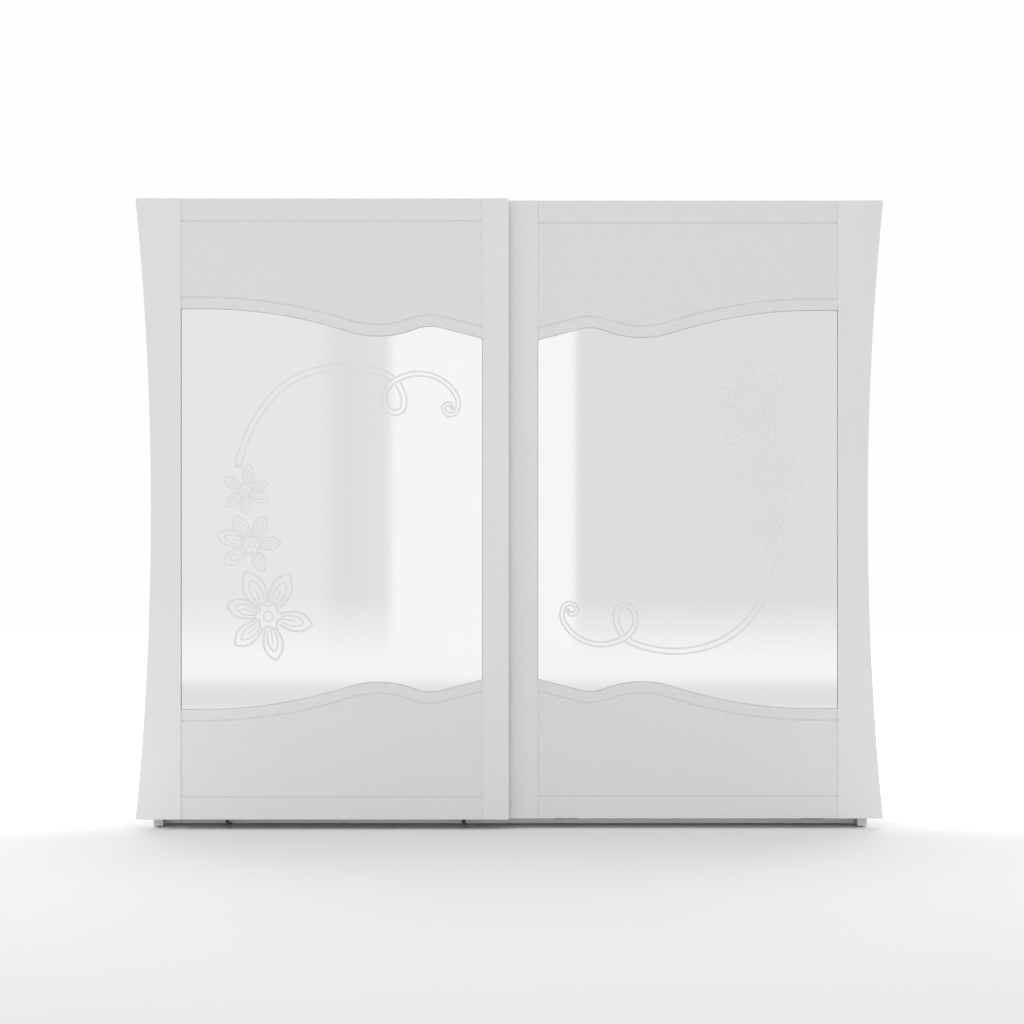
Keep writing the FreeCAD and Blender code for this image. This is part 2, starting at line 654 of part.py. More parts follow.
def make_stiles(door):
    """The outer stile, whose edge curves in at half height, and the straight inner stile."""
    back = f"{door.face} + stile_thick"
    outer = dim.half_width * door.side
    joint = dim.outer_joint * door.side
    waist = (dim.half_width - dim.waist_hollow) * door.side
    corners = [(outer, dim.door_high), (joint, dim.door_high), (joint, dim.door_low), (outer, dim.door_low)]
    outline = polygon(corners)[:3]
    outline.append(Part.Arc(flat_point(corners[3]), flat_point((waist, door_middle)),
                            flat_point(corners[0])))
    stile = padded(f"{door.name}_outer_stile", "XZ_Plane", outline, "stile_thick")
    chamfered_face(f"{door.name}_outer_stile", stile, "stile_chamfer")
    keep(f"{door.name}_outer_stile", place(stile, "0", back))
    outline = door_outline(door.side, door.near, dim.inner_joint)
    stile = padded(f"{door.name}_inner_stile", "XZ_Plane", outline, "stile_thick")
    chamfered_face(f"{door.name}_inner_stile", stile, "stile_chamfer")
    keep(f"{door.name}_inner_stile", place(stile, "0", back))


def make_shaped_panels(door):
    """The panels above and below the mirror, each with a straight and a curved groove."""
    half_groove = dim.groove_width / 2
    for level, up, end in (("upper", 1, dim.door_high), ("lower", -1, dim.door_low)):
        name = f"{door.name}_{level}_panel"
        curves, outer, inner = shaped_edge(door.side, up, 0)
        corner_inner = FreeCAD.Vector(inner.x, end, 0)
        corner_outer = FreeCAD.Vector(outer.x, end, 0)
        rim = [Part.LineSegment(inner, corner_inner), Part.LineSegment(corner_inner, corner_outer),
               Part.LineSegment(corner_outer, outer)]
        panel = padded(name, "XZ_Plane", curves + rim, "panel_thick")
        line = end - up * dim.groove_inset
        straight = polygon([(outer.x, line - half_groove), (inner.x, line - half_groove),
                            (inner.x, line + half_groove), (outer.x, line + half_groove)])
        grooved(name + "_straight_groove", panel, straight, dim.panel_thick)
        curved = between_edges(shaped_edge(door.side, up, dim.bead_inset - half_groove),
                               shaped_edge(door.side, up, dim.bead_inset + half_groove))
        grooved(name + "_curved_groove", panel, curved, dim.panel_thick)
        keep(name, place(panel, "0", f"{door.face} + panel_setback + panel_thick"))


def make_mirror(door):
    """The mirror plate, cut to the shaped edges, and the strips of tape that hold it."""
    name = f"{door.name}_mirror"
    outline = between_edges(shaped_edge(door.side, 1, -dim.mirror_gap, dim.mirror_gap),
                            shaped_edge(door.side, -1, -dim.mirror_gap, dim.mirror_gap))
    plate = padded(name, "XZ_Plane", outline, "mirror_thick")
    keep(name, place(plate, "0", f"{door.face} + mirror_setback + mirror_thick"))
    front = f"{door.face} + mirror_setback + mirror_thick"
    strips = []
    for number in range(int(dim.tape_strips)):
        share = f"({number} + 1 / 2) / tape_strips"
        middle = signed(door.side, f"inner_joint + (outer_joint - inner_joint) * {share}")
        strips.append(slab(f"{name}_tape_{number}", centred(middle, "tape_width"),
                           (front, f"{front} + tape_thick"),
                           centred("(door_low + door_high) / 2", "tape_high")))
    keep(f"{name}_tape", group(f"{name}_tape", strips))


def door_screw(name, back, x, z):
    """A screw through a steel plate into the backing board; returns its shank and the whole screw."""
    shank = rod(name + "_shank", "Y", "screw_radius", "screw_grip + plate_thick",
                x, f"{back} - screw_grip", z)
    head = rod(name + "_head", "Y", "screw_head", "screw_cap", x, f"{back} + plate_thick", z)
    return shank, joined(name, (shank, head))


def axle_profile(near_face, far_face):
    """Axle or guide pin: riveted end in the plate, collar, bearing length and head."""
    play = dim.running_gap
    return [(0, 0), (dim.axle_radius, 0), (dim.axle_radius, dim.plate_thick),
            (dim.collar_radius, dim.plate_thick), (dim.collar_radius, near_face - play),
            (dim.axle_radius, near_face - play), (dim.axle_radius, far_face + play),
            (dim.collar_radius, far_face + play), (dim.collar_radius, far_face + play + dim.axle_head),
            (0, far_face + play + dim.axle_head)]


def wheel_profile():
    """Wheel with a groove that runs on the rail between two flanges."""
    bore = dim.axle_radius + dim.axle_play
    wide = dim.wheel_width
    tread_near = (wide - dim.tread_width) / 2
    tread_far = wide - tread_near
    ease = dim.wheel_ease
    return [(bore, 0), (dim.wheel_radius - ease, 0), (dim.wheel_radius, ease),
            (dim.wheel_radius, tread_near - ease), (dim.tread_radius, tread_near),
            (dim.tread_radius, tread_far), (dim.wheel_radius, tread_far + ease),
            (dim.wheel_radius, wide - ease), (dim.wheel_radius - ease, wide), (bore, wide)]


def roller_profile():
    """Plain guide roller."""
    bore = dim.axle_radius + dim.axle_play
    ease = dim.wheel_ease
    return [(bore, 0), (dim.roller_radius - ease, 0), (dim.roller_radius, ease),
            (dim.roller_radius, dim.roller_high - ease), (dim.roller_radius - ease, dim.roller_high),
            (bore, dim.roller_high)]


def make_hangers(door):
    """Hangers with grooved wheels that carry the door on its rail, and the screws' shanks.

    The rear door's hangers are flat plates. The front door's go over the rear door with an arm and
    down again with a leg that holds the axle.
    """
    back = f"({door.face} + stile_thick)"
    along_y = {"direction": (1, 0, 0), "angle": -90}
    hangers = []
    axles = []
    shanks = []
    for end, distance in (("outer", "hanger_outer"), ("inner", "hanger_inner")):
        x = signed(door.side, distance)
        wide = centred(x, "hanger_width")
        name = f"{door.name}_{end}_hanger"
        if door.over_arm:
            top = "door_high + arm_lift + plate_thick"
            leg = (f"-{door.rail} - leg_offset", f"-{door.rail} - leg_offset + plate_thick")
            plate = slab(name + "_plate", wide, (back, f"{back} + plate_thick"),
                         ("door_high - hanger_long", top))
            arm = slab(name + "_arm", wide, (back, leg[1]), ("door_high + arm_lift", top))
            drop = slab(name + "_leg", wide, leg, (f"{wheel_axis} - 2 * collar_radius", top))
            steel = joined(name + "_steel", (plate, arm, drop))
            start, reach = leg[0], dim.leg_offset
        else:
            steel = slab(name + "_steel", wide, (back, f"{back} + plate_thick"),
                         ("door_high - hanger_long", f"{wheel_axis} + wheel_radius"))
            start = back
            reach = dim.half_depth - dim.door_pitch - dim.stile_thick - dim.rear_rail
        profile = axle_profile(reach - dim.wheel_width / 2, reach + dim.wheel_width / 2)
        axles.append(place(turned(name + "_axle", profile, **along_y), x, start, wheel_axis))
        hole = rod(name + "_hole", "Y", "axle_radius", "plate_thick", x, start, wheel_axis)
        holes = [hole]
        for column in (-1, 1):
            for row in ("high", "low"):
                shank, screw = door_screw(f"{name}_screw_{column}_{row}", back,
                                          f"{x} + {column} * hanger_width / screw_share",
                                          f"door_high - hanger_screw_{row}")
                shanks.append(shank)
                door.screws.append(screw)
                holes.append(shank)
        hangers.append(cut(name, steel, holes))
        wheel = turned(f"{door.name}_{end}_wheel", wheel_profile(), **along_y)
        keep(f"{door.name}_{end}_wheel", place(wheel, x, f"-{door.rail} - wheel_width / 2", wheel_axis))
    keep(f"{door.name}_hangers", group(f"{door.name}_hangers", hangers))
    keep(f"{door.name}_wheel_axles", group(f"{door.name}_wheel_axles", axles))
    return shanks


def make_guides(door):
    """Bent plates under the door that hold its guide rollers in the bottom track."""
    back = f"({door.face} + stile_thick)"
    low = getattr(dim, door.guide_low)
    guides = []
    pins = []
    shanks = []
    for end, distance in (("outer", door.guide_outer), ("inner", door.guide_inner)):
        x = signed(door.side, distance)
        wide = centred(x, door.guide_width)
        name = f"{door.name}_{end}_guide"
        leg = slab(name + "_leg", wide, (back, f"{back} + plate_thick"), (door.guide_low, "guide_top"))
        foot = slab(name + "_foot", wide, (back, f"-{door.channel} + roller_radius"),
                    (door.guide_low, f"{door.guide_low} + plate_thick"))
        holes = [rod(name + "_hole", "Z", "axle_radius", "plate_thick",
                     x, f"-{door.channel}", door.guide_low)]
        for column in door.guide_columns:
            for row in ("high", "low"):
                shank, screw = door_screw(f"{name}_screw_{column}_{row}", back,
                                          f"{x} + {column} * {door.guide_width} / screw_share",
                                          f"guide_top - guide_screw_{row}")
                shanks.append(shank)
                door.screws.append(screw)
                holes.append(shank)
        guides.append(cut(name, joined(name + "_steel", (leg, foot)), holes))
        near_face = dim.roller_low - low
        profile = axle_profile(near_face, near_face + dim.roller_high)
        pins.append(place(turned(name + "_pin", profile), x, f"-{door.channel}", door.guide_low))
        roller = turned(f"{door.name}_{end}_roller", roller_profile())
        keep(f"{door.name}_{end}_roller", place(roller, x, f"-{door.channel}", "roller_low"))
    keep(f"{door.name}_guides", group(f"{door.name}_guides", guides))
    keep(f"{door.name}_guide_pins", group(f"{door.name}_guide_pins", pins))
    return shanks


def make_backing(door, shanks):
    """The board behind panels and mirror, with the holes of the hangers' and guides' screws."""
    across = handed(door.side, "inner_joint", "outer_joint")
    blank = slab(f"{door.name}_backing_blank", across,
                 (f"{door.face} + stile_thick - backing_thick", f"{door.face} + stile_thick"),
                 ("door_low", "door_high"))
    keep(f"{door.name}_backing", cut(f"{door.name}_backing", blank, shanks))


def make_brush(door):
    """Dust brush along the door's back: a carrier strip with a row of bristles."""
    back = f"({door.face} + stile_thick)"
    tall = ("door_low + hanger_long", "door_high - hanger_long")
    low, high = handed(door.side, door.brush_near, f"{door.brush_near} + brush_width")
    carrier = slab(f"{door.name}_brush_carrier", (low, high), (back, f"{back} + brush_base"), tall)
    bristles = slab(f"{door.name}_bristles", (f"{low} + brush_width / 4", f"{high} - brush_width / 4"),
                    (f"{back} + brush_base", f"{door.brush_reach} - running_gap"), tall)
    keep(f"{door.name}_dust_brush", joined(f"{door.name}_dust_brush", (carrier, bristles)))


def make_door(door):
    make_stiles(door)
    make_shaped_panels(door)
    make_mirror(door)
    shanks = make_hangers(door) + make_guides(door)
    keep(f"{door.name}_screws", group(f"{door.name}_screws", door.screws))
    make_backing(door, shanks)
    make_brush(door)


front_door = SimpleNamespace(
    name="left_door", side=-1, face="-half_depth", near=dim.front_edge, over_arm=True,
    rail="front_rail", channel="front_channel", guide_outer="front_guide_outer",
    guide_inner="front_guide_inner", guide_width="front_guide_width", guide_low="front_guide_low",
    guide_columns=(0,),
    brush_near="front_edge + brush_width", brush_reach="-half_depth + door_pitch", screws=[])
rear_door = SimpleNamespace(
    name="right_door", side=1, face="(-half_depth + door_pitch)", near=-dim.rear_edge, over_arm=False,
    rail="rear_rail", channel="rear_channel", guide_outer="rear_guide_outer",
    guide_inner="rear_guide_inner", guide_width="rear_guide_width", guide_low="rear_guide_low",
    guide_columns=(-1, 1), brush_near="carcass_half - side_thick + brush_width",
    brush_reach="-carcass_front", screws=[])


# ---------------------------------------------------------------- build, check and write

def check_and_write():
    doc.recompute()
    for item in doc.Objects:
        if "Invalid" in item.State or "Error" in item.State:
            raise RuntimeError(f"{item.Name} did not compute: {item.State}")
    os.makedirs("parts", exist_ok=True)
    for label, item in parts.items():
        if item.Shape.isNull() or not item.Shape.isValid() or not item.Shape.Solids:
            raise RuntimeError(f"{label} has no valid shape")
        item.Shape.exportStep(f"parts/{label}.step")
    print(f"{len(parts)} sub-parts, {sum(len(item.Shape.Solids) for item in parts.values())} solids")


make_panels()
make_interior()
make_feet()
make_top_track()
make_bottom_track()
make_door(front_door)
make_door(rear_door)
check_and_write()
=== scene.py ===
import json
import math

import bmesh
import bpy
from mathutils import Matrix, Vector


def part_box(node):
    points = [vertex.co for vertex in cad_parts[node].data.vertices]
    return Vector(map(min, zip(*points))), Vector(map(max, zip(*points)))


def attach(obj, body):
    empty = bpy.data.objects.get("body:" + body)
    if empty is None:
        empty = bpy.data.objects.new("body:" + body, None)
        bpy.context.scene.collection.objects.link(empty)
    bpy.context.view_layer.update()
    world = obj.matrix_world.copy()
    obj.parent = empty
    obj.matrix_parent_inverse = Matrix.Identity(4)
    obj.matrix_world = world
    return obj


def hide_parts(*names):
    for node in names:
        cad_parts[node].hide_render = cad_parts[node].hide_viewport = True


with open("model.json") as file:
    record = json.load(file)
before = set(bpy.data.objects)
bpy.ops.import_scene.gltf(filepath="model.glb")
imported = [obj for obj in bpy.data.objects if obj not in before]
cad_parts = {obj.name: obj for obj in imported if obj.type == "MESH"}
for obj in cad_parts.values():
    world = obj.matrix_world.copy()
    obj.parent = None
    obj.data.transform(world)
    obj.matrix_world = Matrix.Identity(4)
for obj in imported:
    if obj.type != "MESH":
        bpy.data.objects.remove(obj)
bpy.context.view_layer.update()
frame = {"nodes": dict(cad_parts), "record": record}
nodes = frame["nodes"]
print("frame loaded:", len(nodes), "CAD nodes")


# shader helpers

def newMaterial(name, **sockets):
    material = bpy.data.materials.new(name)
    material.use_nodes = True
    shader = material.node_tree.nodes["Principled BSDF"]
    for key, value in sockets.items():
        shader.inputs[socketNames[key]].default_value = value
    return material, material.node_tree, shader


socketNames = {
    "rough": "Roughness", "metal": "Metallic", "ior": "IOR",
    "coat": "Coat Weight", "coatRough": "Coat Roughness", "specular": "Specular IOR Level",
    "subsurface": "Subsurface Weight",
}


def addNode(tree, kind, inputs=None, **settings):
    node = tree.nodes.new(kind)
    for key, value in settings.items():
        setattr(node, key, value)
    for key, value in (inputs or {}).items():
        node.inputs[key].default_value = value
    return node


def wire(tree, source, target):
    tree.links.new(source, target)


def objectPoint(tree, scale=(1, 1, 1)):
    coords = addNode(tree, "ShaderNodeTexCoord")
    mapping = addNode(tree, "ShaderNodeMapping", {"Scale": scale})
    wire(tree, coords.outputs["Object"], mapping.inputs["Vector"])
    return mapping.outputs["Vector"]


def newGroup(name, inputs, outputs):
    tree = bpy.data.node_groups.new(name, "ShaderNodeTree")
    for label, kind, value in inputs:
        socket = tree.interface.new_socket(label, in_out="INPUT", socket_type=kind)
        if value is not None:
            socket.default_value = value
    for label, kind in outputs:
        tree.interface.new_socket(label, in_out="OUTPUT", socket_type=kind)
    return tree, addNode(tree, "NodeGroupInput").outputs, addNode(tree, "NodeGroupOutput").inputs


def useGroup(tree, group, vector, **values):
    node = addNode(tree, "ShaderNodeGroup")
    node.node_tree = group
    for key, value in values.items():
        node.inputs[key].default_value = value
    wire(tree, vector, node.inputs["Vector"])
    return node.outputs


def math2(tree, operation, first, second, clamp=False):
    node = addNode(tree, "ShaderNodeMath", operation=operation, use_clamp=clamp)
    for socket, value in zip(node.inputs, (first, second)):
        if isinstance(value, (int, float)):
            socket.default_value = value
        else:
            wire(tree, value, socket)
    return node.outputs[0]


def remap(tree, value, fromLow, fromHigh, toLow, toHigh):
    node = addNode(tree, "ShaderNodeMapRange", {
        "From Min": fromLow, "From Max": fromHigh, "To Min": toLow, "To Max": toHigh})
    wire(tree, value, node.inputs["Value"])
    return node.outputs["Result"]


def mixColor(tree, factor, first, second):
    node = addNode(tree, "ShaderNodeMix", data_type="RGBA")
    wire(tree, factor, node.inputs["Factor"])
    for key, value in (("A", first), ("B", second)):
        socket = next(s for s in node.inputs if s.name == key and s.type == "RGBA")
        if isinstance(value, tuple):
            socket.default_value = (*value, 1)
        else:
            wire(tree, value, socket)
    return next(s for s in node.outputs if s.type == "RGBA")


def bumpInto(tree, shader, height, distance):
    bump = addNode(tree, "ShaderNodeBump", {"Distance": distance, "Strength": 1.0})
    wire(tree, height, bump.inputs["Height"])
    wire(tree, bump.outputs["Normal"], shader.inputs["Normal"])


# effects that several finishes share

def fineGrainGroup():
    # grain: two sizes of fine noise; drift: slow change over a hand's width
    tree, given, out = newGroup(
        "fineGrain",
        [("Vector", "NodeSocketVector", None), ("Scale", "NodeSocketFloat", 300.0),
         ("Drift Scale", "NodeSocketFloat", 3.0)],
        [("Grain", "NodeSocketFloat"), ("Drift", "NodeSocketFloat")])
    coarse = addNode(tree, "ShaderNodeTexNoise", {"Detail": 2.0, "Roughness": 0.55})
    fine = addNode(tree, "ShaderNodeTexNoise", {"Detail": 1.0, "Roughness": 0.5})
    drift = addNode(tree, "ShaderNodeTexNoise", {"Detail": 3.0, "Roughness": 0.5})
    for node in (coarse, fine, drift):
        wire(tree, given["Vector"], node.inputs["Vector"])
    wire(tree, given["Scale"], coarse.inputs["Scale"])
    wire(tree, math2(tree, "MULTIPLY", given["Scale"], 3.1), fine.inputs["Scale"])
    wire(tree, given["Drift Scale"], drift.inputs["Scale"])
    mixed = math2(tree, "ADD", math2(tree, "MULTIPLY", coarse.outputs["Fac"], 0.7),
                  math2(tree, "MULTIPLY", fine.outputs["Fac"], 0.3))
    wire(tree, mixed, out["Grain"])
    wire(tree, drift.outputs["Fac"], out["Drift"])
    return tree


def edgeRubGroup():
    # rub: 1 on outer edges that hands and cloths polish, broken up by noise
    tree, given, out = newGroup(
        "edgeRub",
        [("Vector", "NodeSocketVector", None), ("Radius", "NodeSocketFloat", 0.002),
         ("Breakup", "NodeSocketFloat", 40.0)],
        [("Rub", "NodeSocketFloat")])
    geometry = addNode(tree, "ShaderNodeNewGeometry")
    bevel = addNode(tree, "ShaderNodeBevel", samples=4)
    wire(tree, given["Radius"], bevel.inputs["Radius"])
    dot = addNode(tree, "ShaderNodeVectorMath", operation="DOT_PRODUCT")
    wire(tree, geometry.outputs["Normal"], dot.inputs[0])
    wire(tree, bevel.outputs["Normal"], dot.inputs[1])
    edge = remap(tree, dot.outputs["Value"], 0.97, 0.80, 0.0, 1.0)
    noise = addNode(tree, "ShaderNodeTexNoise", {"Detail": 4.0, "Roughness": 0.65})
    wire(tree, given["Vector"], noise.inputs["Vector"])
    wire(tree, given["Breakup"], noise.inputs["Scale"])
    worn = remap(tree, noise.outputs["Fac"], 0.42, 0.62, 0.0, 1.0)
    wire(tree, math2(tree, "MULTIPLY", edge, worn, clamp=True), out["Rub"])
    return tree


def settledDustGroup():
    # dust: 1 on faces that look up, thinner and blotchy
    tree, given, out = newGroup(
        "settledDust",
        [("Vector", "NodeSocketVector", None), ("Scale", "NodeSocketFloat", 9.0)],
        [("Dust", "NodeSocketFloat")])
    geometry = addNode(tree, "ShaderNodeNewGeometry")
    axes = addNode(tree, "ShaderNodeSeparateXYZ")
    wire(tree, geometry.outputs["Normal"], axes.inputs["Vector"])
    up = remap(tree, axes.outputs["Z"], 0.7, 1.0, 0.0, 1.0)
    noise = addNode(tree, "ShaderNodeTexNoise", {"Detail": 6.0, "Roughness": 0.6})
    wire(tree, given["Vector"], noise.inputs["Vector"])
    wire(tree, given["Scale"], noise.inputs["Scale"])
    blotch = remap(tree, noise.outputs["Fac"], 0.35, 0.7, 0.3, 1.0)
    wire(tree, math2(tree, "MULTIPLY", up, blotch), out["Dust"])
    return tree


fineGrain = fineGrainGroup()
edgeRub = edgeRubGroup()
settledDust = settledDustGroup()


# finishes; rubbed edges and settled dust show this much on boards, metal and plastic

wear = {
    "boardRub": 0.35, "boardDust": 0.30, "boardDustTone": (0.60, 0.59, 0.57), "boardDustRough": 0.2,
    "metalDustRough": 0.15, "plasticDust": 0.25, "plasticDustTone": (0.45, 0.44, 0.42),
}


def paintedFinish(name, values):
    # lacquer, foil or melamine: fine grain in the height and the tone, rubbed edges, dusty tops
    material, tree, shader = newMaterial(name, ior=1.47, coat=values.get("coat", 0.0), coatRough=0.12)
    point = objectPoint(tree)
    grain = useGroup(tree, fineGrain, point, Scale=values["grainScale"])
    rub = useGroup(tree, edgeRub, point)["Rub"]
    dust = useGroup(tree, settledDust, point)["Dust"]
    low, high = values["tones"]
    tone = mixColor(tree, grain["Drift"], low, high)
    specks = remap(tree, grain["Grain"], 0.3, 0.7, 0.0, 1.0)
    tone = mixColor(tree, math2(tree, "MULTIPLY", specks, values["speckle"]), tone, values["speckTone"])
    tone = mixColor(tree, math2(tree, "MULTIPLY", rub, wear["boardRub"]), tone, values["rubTone"])
    tone = mixColor(tree, math2(tree, "MULTIPLY", dust, wear["boardDust"]), tone, wear["boardDustTone"])
    wire(tree, tone, shader.inputs["Base Color"])
    low, high = values["rough"]
    rough = remap(tree, grain["Drift"], 0.3, 0.7, low, high)
    dulled = math2(tree, "MULTIPLY", dust, wear["boardDustRough"])
    wire(tree, math2(tree, "ADD", rough, dulled), shader.inputs["Roughness"])
    bumpInto(tree, shader, grain["Grain"], values["grainDeep"])
    return material


stileFinish = {
    "tones": ((0.766, 0.766, 0.765), (0.794, 0.794, 0.793)), "speckTone": (0.742, 0.742, 0.741),
    "speckle": 0.10, "rubTone": (0.88, 0.88, 0.88), "rough": (0.31, 0.37), "coat": 0.15,
    "grainScale": 420.0, "grainDeep": 0.00004,
}
panelFinish = dict(stileFinish, tones=((0.777, 0.777, 0.776), (0.805, 0.805, 0.804)),
                   speckTone=(0.692, 0.692, 0.691), speckle=0.65, grainScale=230.0, grainDeep=0.0007,
                   rough=(0.39, 0.45), coat=0.05)
boardFinish = {
    "tones": ((0.70, 0.702, 0.70), (0.73, 0.732, 0.73)), "speckTone": (0.65, 0.65, 0.645),
    "speckle": 0.25, "rubTone": (0.85, 0.85, 0.85), "rough": (0.45, 0.51),
    "grainScale": 900.0, "grainDeep": 0.00012,
}
backingFinish = dict(boardFinish, tones=((0.58, 0.575, 0.56), (0.63, 0.625, 0.61)), rough=(0.57, 0.63),
                     grainScale=500.0, grainDeep=0.0002)

satinLacquer = paintedFinish("satinLacquer", stileFinish)
textureLacquer = paintedFinish("textureLacquer", panelFinish)
boardWhite = paintedFinish("boardWhite", boardFinish)
backingWhite = paintedFinish("backingWhite", backingFinish)


silver = {"tones": ((0.939, 0.942, 0.938), (0.961, 0.964, 0.960)), "rough": (0.008, 0.03), "grainScale": 60.0}
frost = {"tones": ((0.74, 0.745, 0.745), (0.85, 0.855, 0.855)), "rough": (0.5, 0.7), "grainScale": 1500.0,
         "grainDeep": 0.00008}


def silverFinish():
    material, tree, shader = newMaterial("mirrorSilver", metal=1.0)
    grain = useGroup(tree, fineGrain, objectPoint(tree), Scale=silver["grainScale"])
    low, high = silver["rough"]
    wipingMarks = remap(tree, grain["Drift"], 0.35, 0.75, low, high)
    wire(tree, wipingMarks, shader.inputs["Roughness"])
    wire(tree, mixColor(tree, grain["Drift"], *silver["tones"]), shader.inputs["Base Color"])
    return material


def frostFinish():
    material, tree, shader = newMaterial("frostedGlass", ior=1.5, specular=0.3)
    grain = useGroup(tree, fineGrain, objectPoint(tree), Scale=frost["grainScale"])
    low, high = frost["rough"]
    wire(tree, mixColor(tree, grain["Grain"], *frost["tones"]), shader.inputs["Base Color"])
    wire(tree, remap(tree, grain["Grain"], 0.3, 0.7, low, high), shader.inputs["Roughness"])
    bumpInto(tree, shader, grain["Grain"], frost["grainDeep"])
    return material


def metalFinish(name, values):
    # rolled or plated metal, streaked along its length when stretch is set
    material, tree, shader = newMaterial(name, metal=values.get("metal", 1.0))
    point = objectPoint(tree, values.get("stretch", (1, 1, 1)))
    grain = useGroup(tree, fineGrain, point, Scale=values["grainScale"])
    rub = useGroup(tree, edgeRub, objectPoint(tree), Radius=0.0012, Breakup=120.0)["Rub"]
    dust = useGroup(tree, settledDust, objectPoint(tree))["Dust"]
    tone = mixColor(tree, grain["Grain"], *values["tones"])
    tone = mixColor(tree, math2(tree, "MULTIPLY", rub, values.get("rub", 0.5)), tone, values["rubTone"])
    wire(tree, tone, shader.inputs["Base Color"])
    low, high = values["rough"]
    rough = remap(tree, grain["Drift"], 0.3, 0.7, low, high)
    dulled = math2(tree, "MULTIPLY", dust, wear["metalDustRough"])
    wire(tree, math2(tree, "ADD", rough, dulled), shader.inputs["Roughness"])
    bumpInto(tree, shader, grain["Grain"], values["grainDeep"])
    return material


aluminiumFinish = {
    "tones": ((0.62, 0.63, 0.64), (0.74, 0.75, 0.76)), "rubTone": (0.86, 0.86, 0.87),
    "rough": (0.28, 0.36), "grainScale": 500.0, "grainDeep": 0.00003, "stretch": (0.02, 1, 1),
}
blackSteelFinish = {
    "metal": 0.0, "tones": ((0.022, 0.022, 0.023), (0.035, 0.035, 0.036)), "rubTone": (0.18, 0.18, 0.18),
    "rub": 0.35, "rough": (0.42, 0.52), "grainScale": 1400.0, "grainDeep": 0.00006,
}
zincFinish = {
    "tones": ((0.52, 0.53, 0.55), (0.70, 0.71, 0.72)), "rubTone": (0.82, 0.82, 0.82),
    "rough": (0.26, 0.40), "grainScale": 220.0, "grainDeep": 0.00003,
}
chromeFinish = {
    "tones": ((0.80, 0.81, 0.82), (0.86, 0.87, 0.88)), "rubTone": (0.92, 0.92, 0.92),
    "rough": (0.05, 0.11), "grainScale": 90.0, "grainDeep": 0.00001,
}

mirrorSilver = silverFinish()
frostedGlass = frostFinish()
anodised = metalFinish("anodisedAluminium", aluminiumFinish)
blackSteel = metalFinish("blackPowderSteel", blackSteelFinish)
zincSteel = metalFinish("zincSteel", zincFinish)
chrome = metalFinish("chromeTube", chromeFinish)


def plasticFinish(name, values):
    material, tree, shader = newMaterial(name, ior=1.5, subsurface=values.get("subsurface", 0.0))
    point = objectPoint(tree)
    grain = useGroup(tree, fineGrain, point, Scale=values["grainScale"])
    dust = useGroup(tree, settledDust, point)["Dust"]
    tone = mixColor(tree, grain["Drift"], *values["tones"])
    tone = mixColor(tree, math2(tree, "MULTIPLY", dust, wear["plasticDust"]), tone, wear["plasticDustTone"])
    wire(tree, tone, shader.inputs["Base Color"])
    low, high = values["rough"]
    wire(tree, remap(tree, grain["Grain"], 0.3, 0.7, low, high), shader.inputs["Roughness"])
    bumpInto(tree, shader, grain["Grain"], values["grainDeep"])
    return material


nylonWhite = plasticFinish("nylonWhite", {
    "tones": ((0.70, 0.69, 0.66), (0.76, 0.75, 0.72)), "rough": (0.3, 0.42), "grainScale": 700.0,
    "grainDeep": 0.00003, "subsurface": 0.1})
darkPlastic = plasticFinish("darkPlastic", {
    "tones": ((0.030, 0.030, 0.031), (0.042, 0.042, 0.043)), "rough": (0.38, 0.55),
    "grainScale": 900.0, "grainDeep": 0.00006})
blackRubber = plasticFinish("blackRubber", {
    "tones": ((0.018, 0.018, 0.018), (0.03, 0.03, 0.03)), "rough": (0.6, 0.8), "grainScale": 1100.0,
    "grainDeep": 0.00008})
foamTape = plasticFinish("foamTape", {
    "tones": ((0.10, 0.10, 0.10), (0.14, 0.14, 0.14)), "rough": (0.8, 0.95), "grainScale": 1600.0,
    "grainDeep": 0.0001})
brushPile = plasticFinish("brushPile", {
    "tones": ((0.28, 0.28, 0.29), (0.38, 0.38, 0.39)), "rough": (0.75, 0.9), "grainScale": 2200.0,
    "grainDeep": 0.0002})
print("finishes made:", len(bpy.data.materials))


# CAD nodes that keep their shape get their finish

slotFinishes = {
    "white_lacquer": satinLacquer, "white_board": boardWhite, "white_backing": backingWhite,
    "mirror": mirrorSilver, "foam_tape": foamTape, "aluminium": anodised, "black_steel": blackSteel,
    "zinc_steel": zincSteel, "chrome": chrome, "nylon": nylonWhite, "dark_plastic": darkPlastic,
    "rubber": blackRubber, "brush_pile": brushPile,
}
slotOfNode = {part["node"]: part["material_slot"] for part in frame["record"]["subparts"]}
# the plinths take the paler satin lacquer instead of their board finish: a painted brightening that stands in
# for light they barely get
plinthsPaintedBrighter = {"front_plinth": satinLacquer, "rear_plinth": satinLacquer}
for nodeName, node in nodes.items():
    finish = plinthsPaintedBrighter.get(nodeName, slotFinishes[slotOfNode[nodeName]])
    for materialSlot in node.material_slots:
        materialSlot.material = finish
print("CAD nodes finished")


# mesh helpers

def addPiece(name, bm, body, material, replaced=(), smoothAngle=32):
    mesh = bpy.data.meshes.new(name)
    bm.to_mesh(mesh)
    bm.free()
    mesh.materials.append(material)
    mesh.shade_smooth()
    mesh.set_sharp_from_angle(angle=math.radians(smoothAngle))
    for face in mesh.polygons:  # faces square to the axes are truly flat
        face.use_smooth = max(abs(part) for part in face.normal) < 0.99999
    piece = bpy.data.objects.new(name, mesh)
    bpy.context.scene.collection.objects.link(piece)
    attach(piece, body)
    if replaced:
        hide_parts(*replaced)
    return piece


def thicken(bm, offset):
    # the flat sheet becomes a closed plate; offset is the move from its face to its back
    grown = bmesh.ops.extrude_face_region(bm, geom=bm.faces[:], use_keep_orig=True)
    moved = [item for item in grown["geom"] if isinstance(item, bmesh.types.BMVert)]
    bmesh.ops.translate(bm, verts=moved, vec=offset)
    bmesh.ops.recalc_face_normals(bm, faces=bm.faces[:])


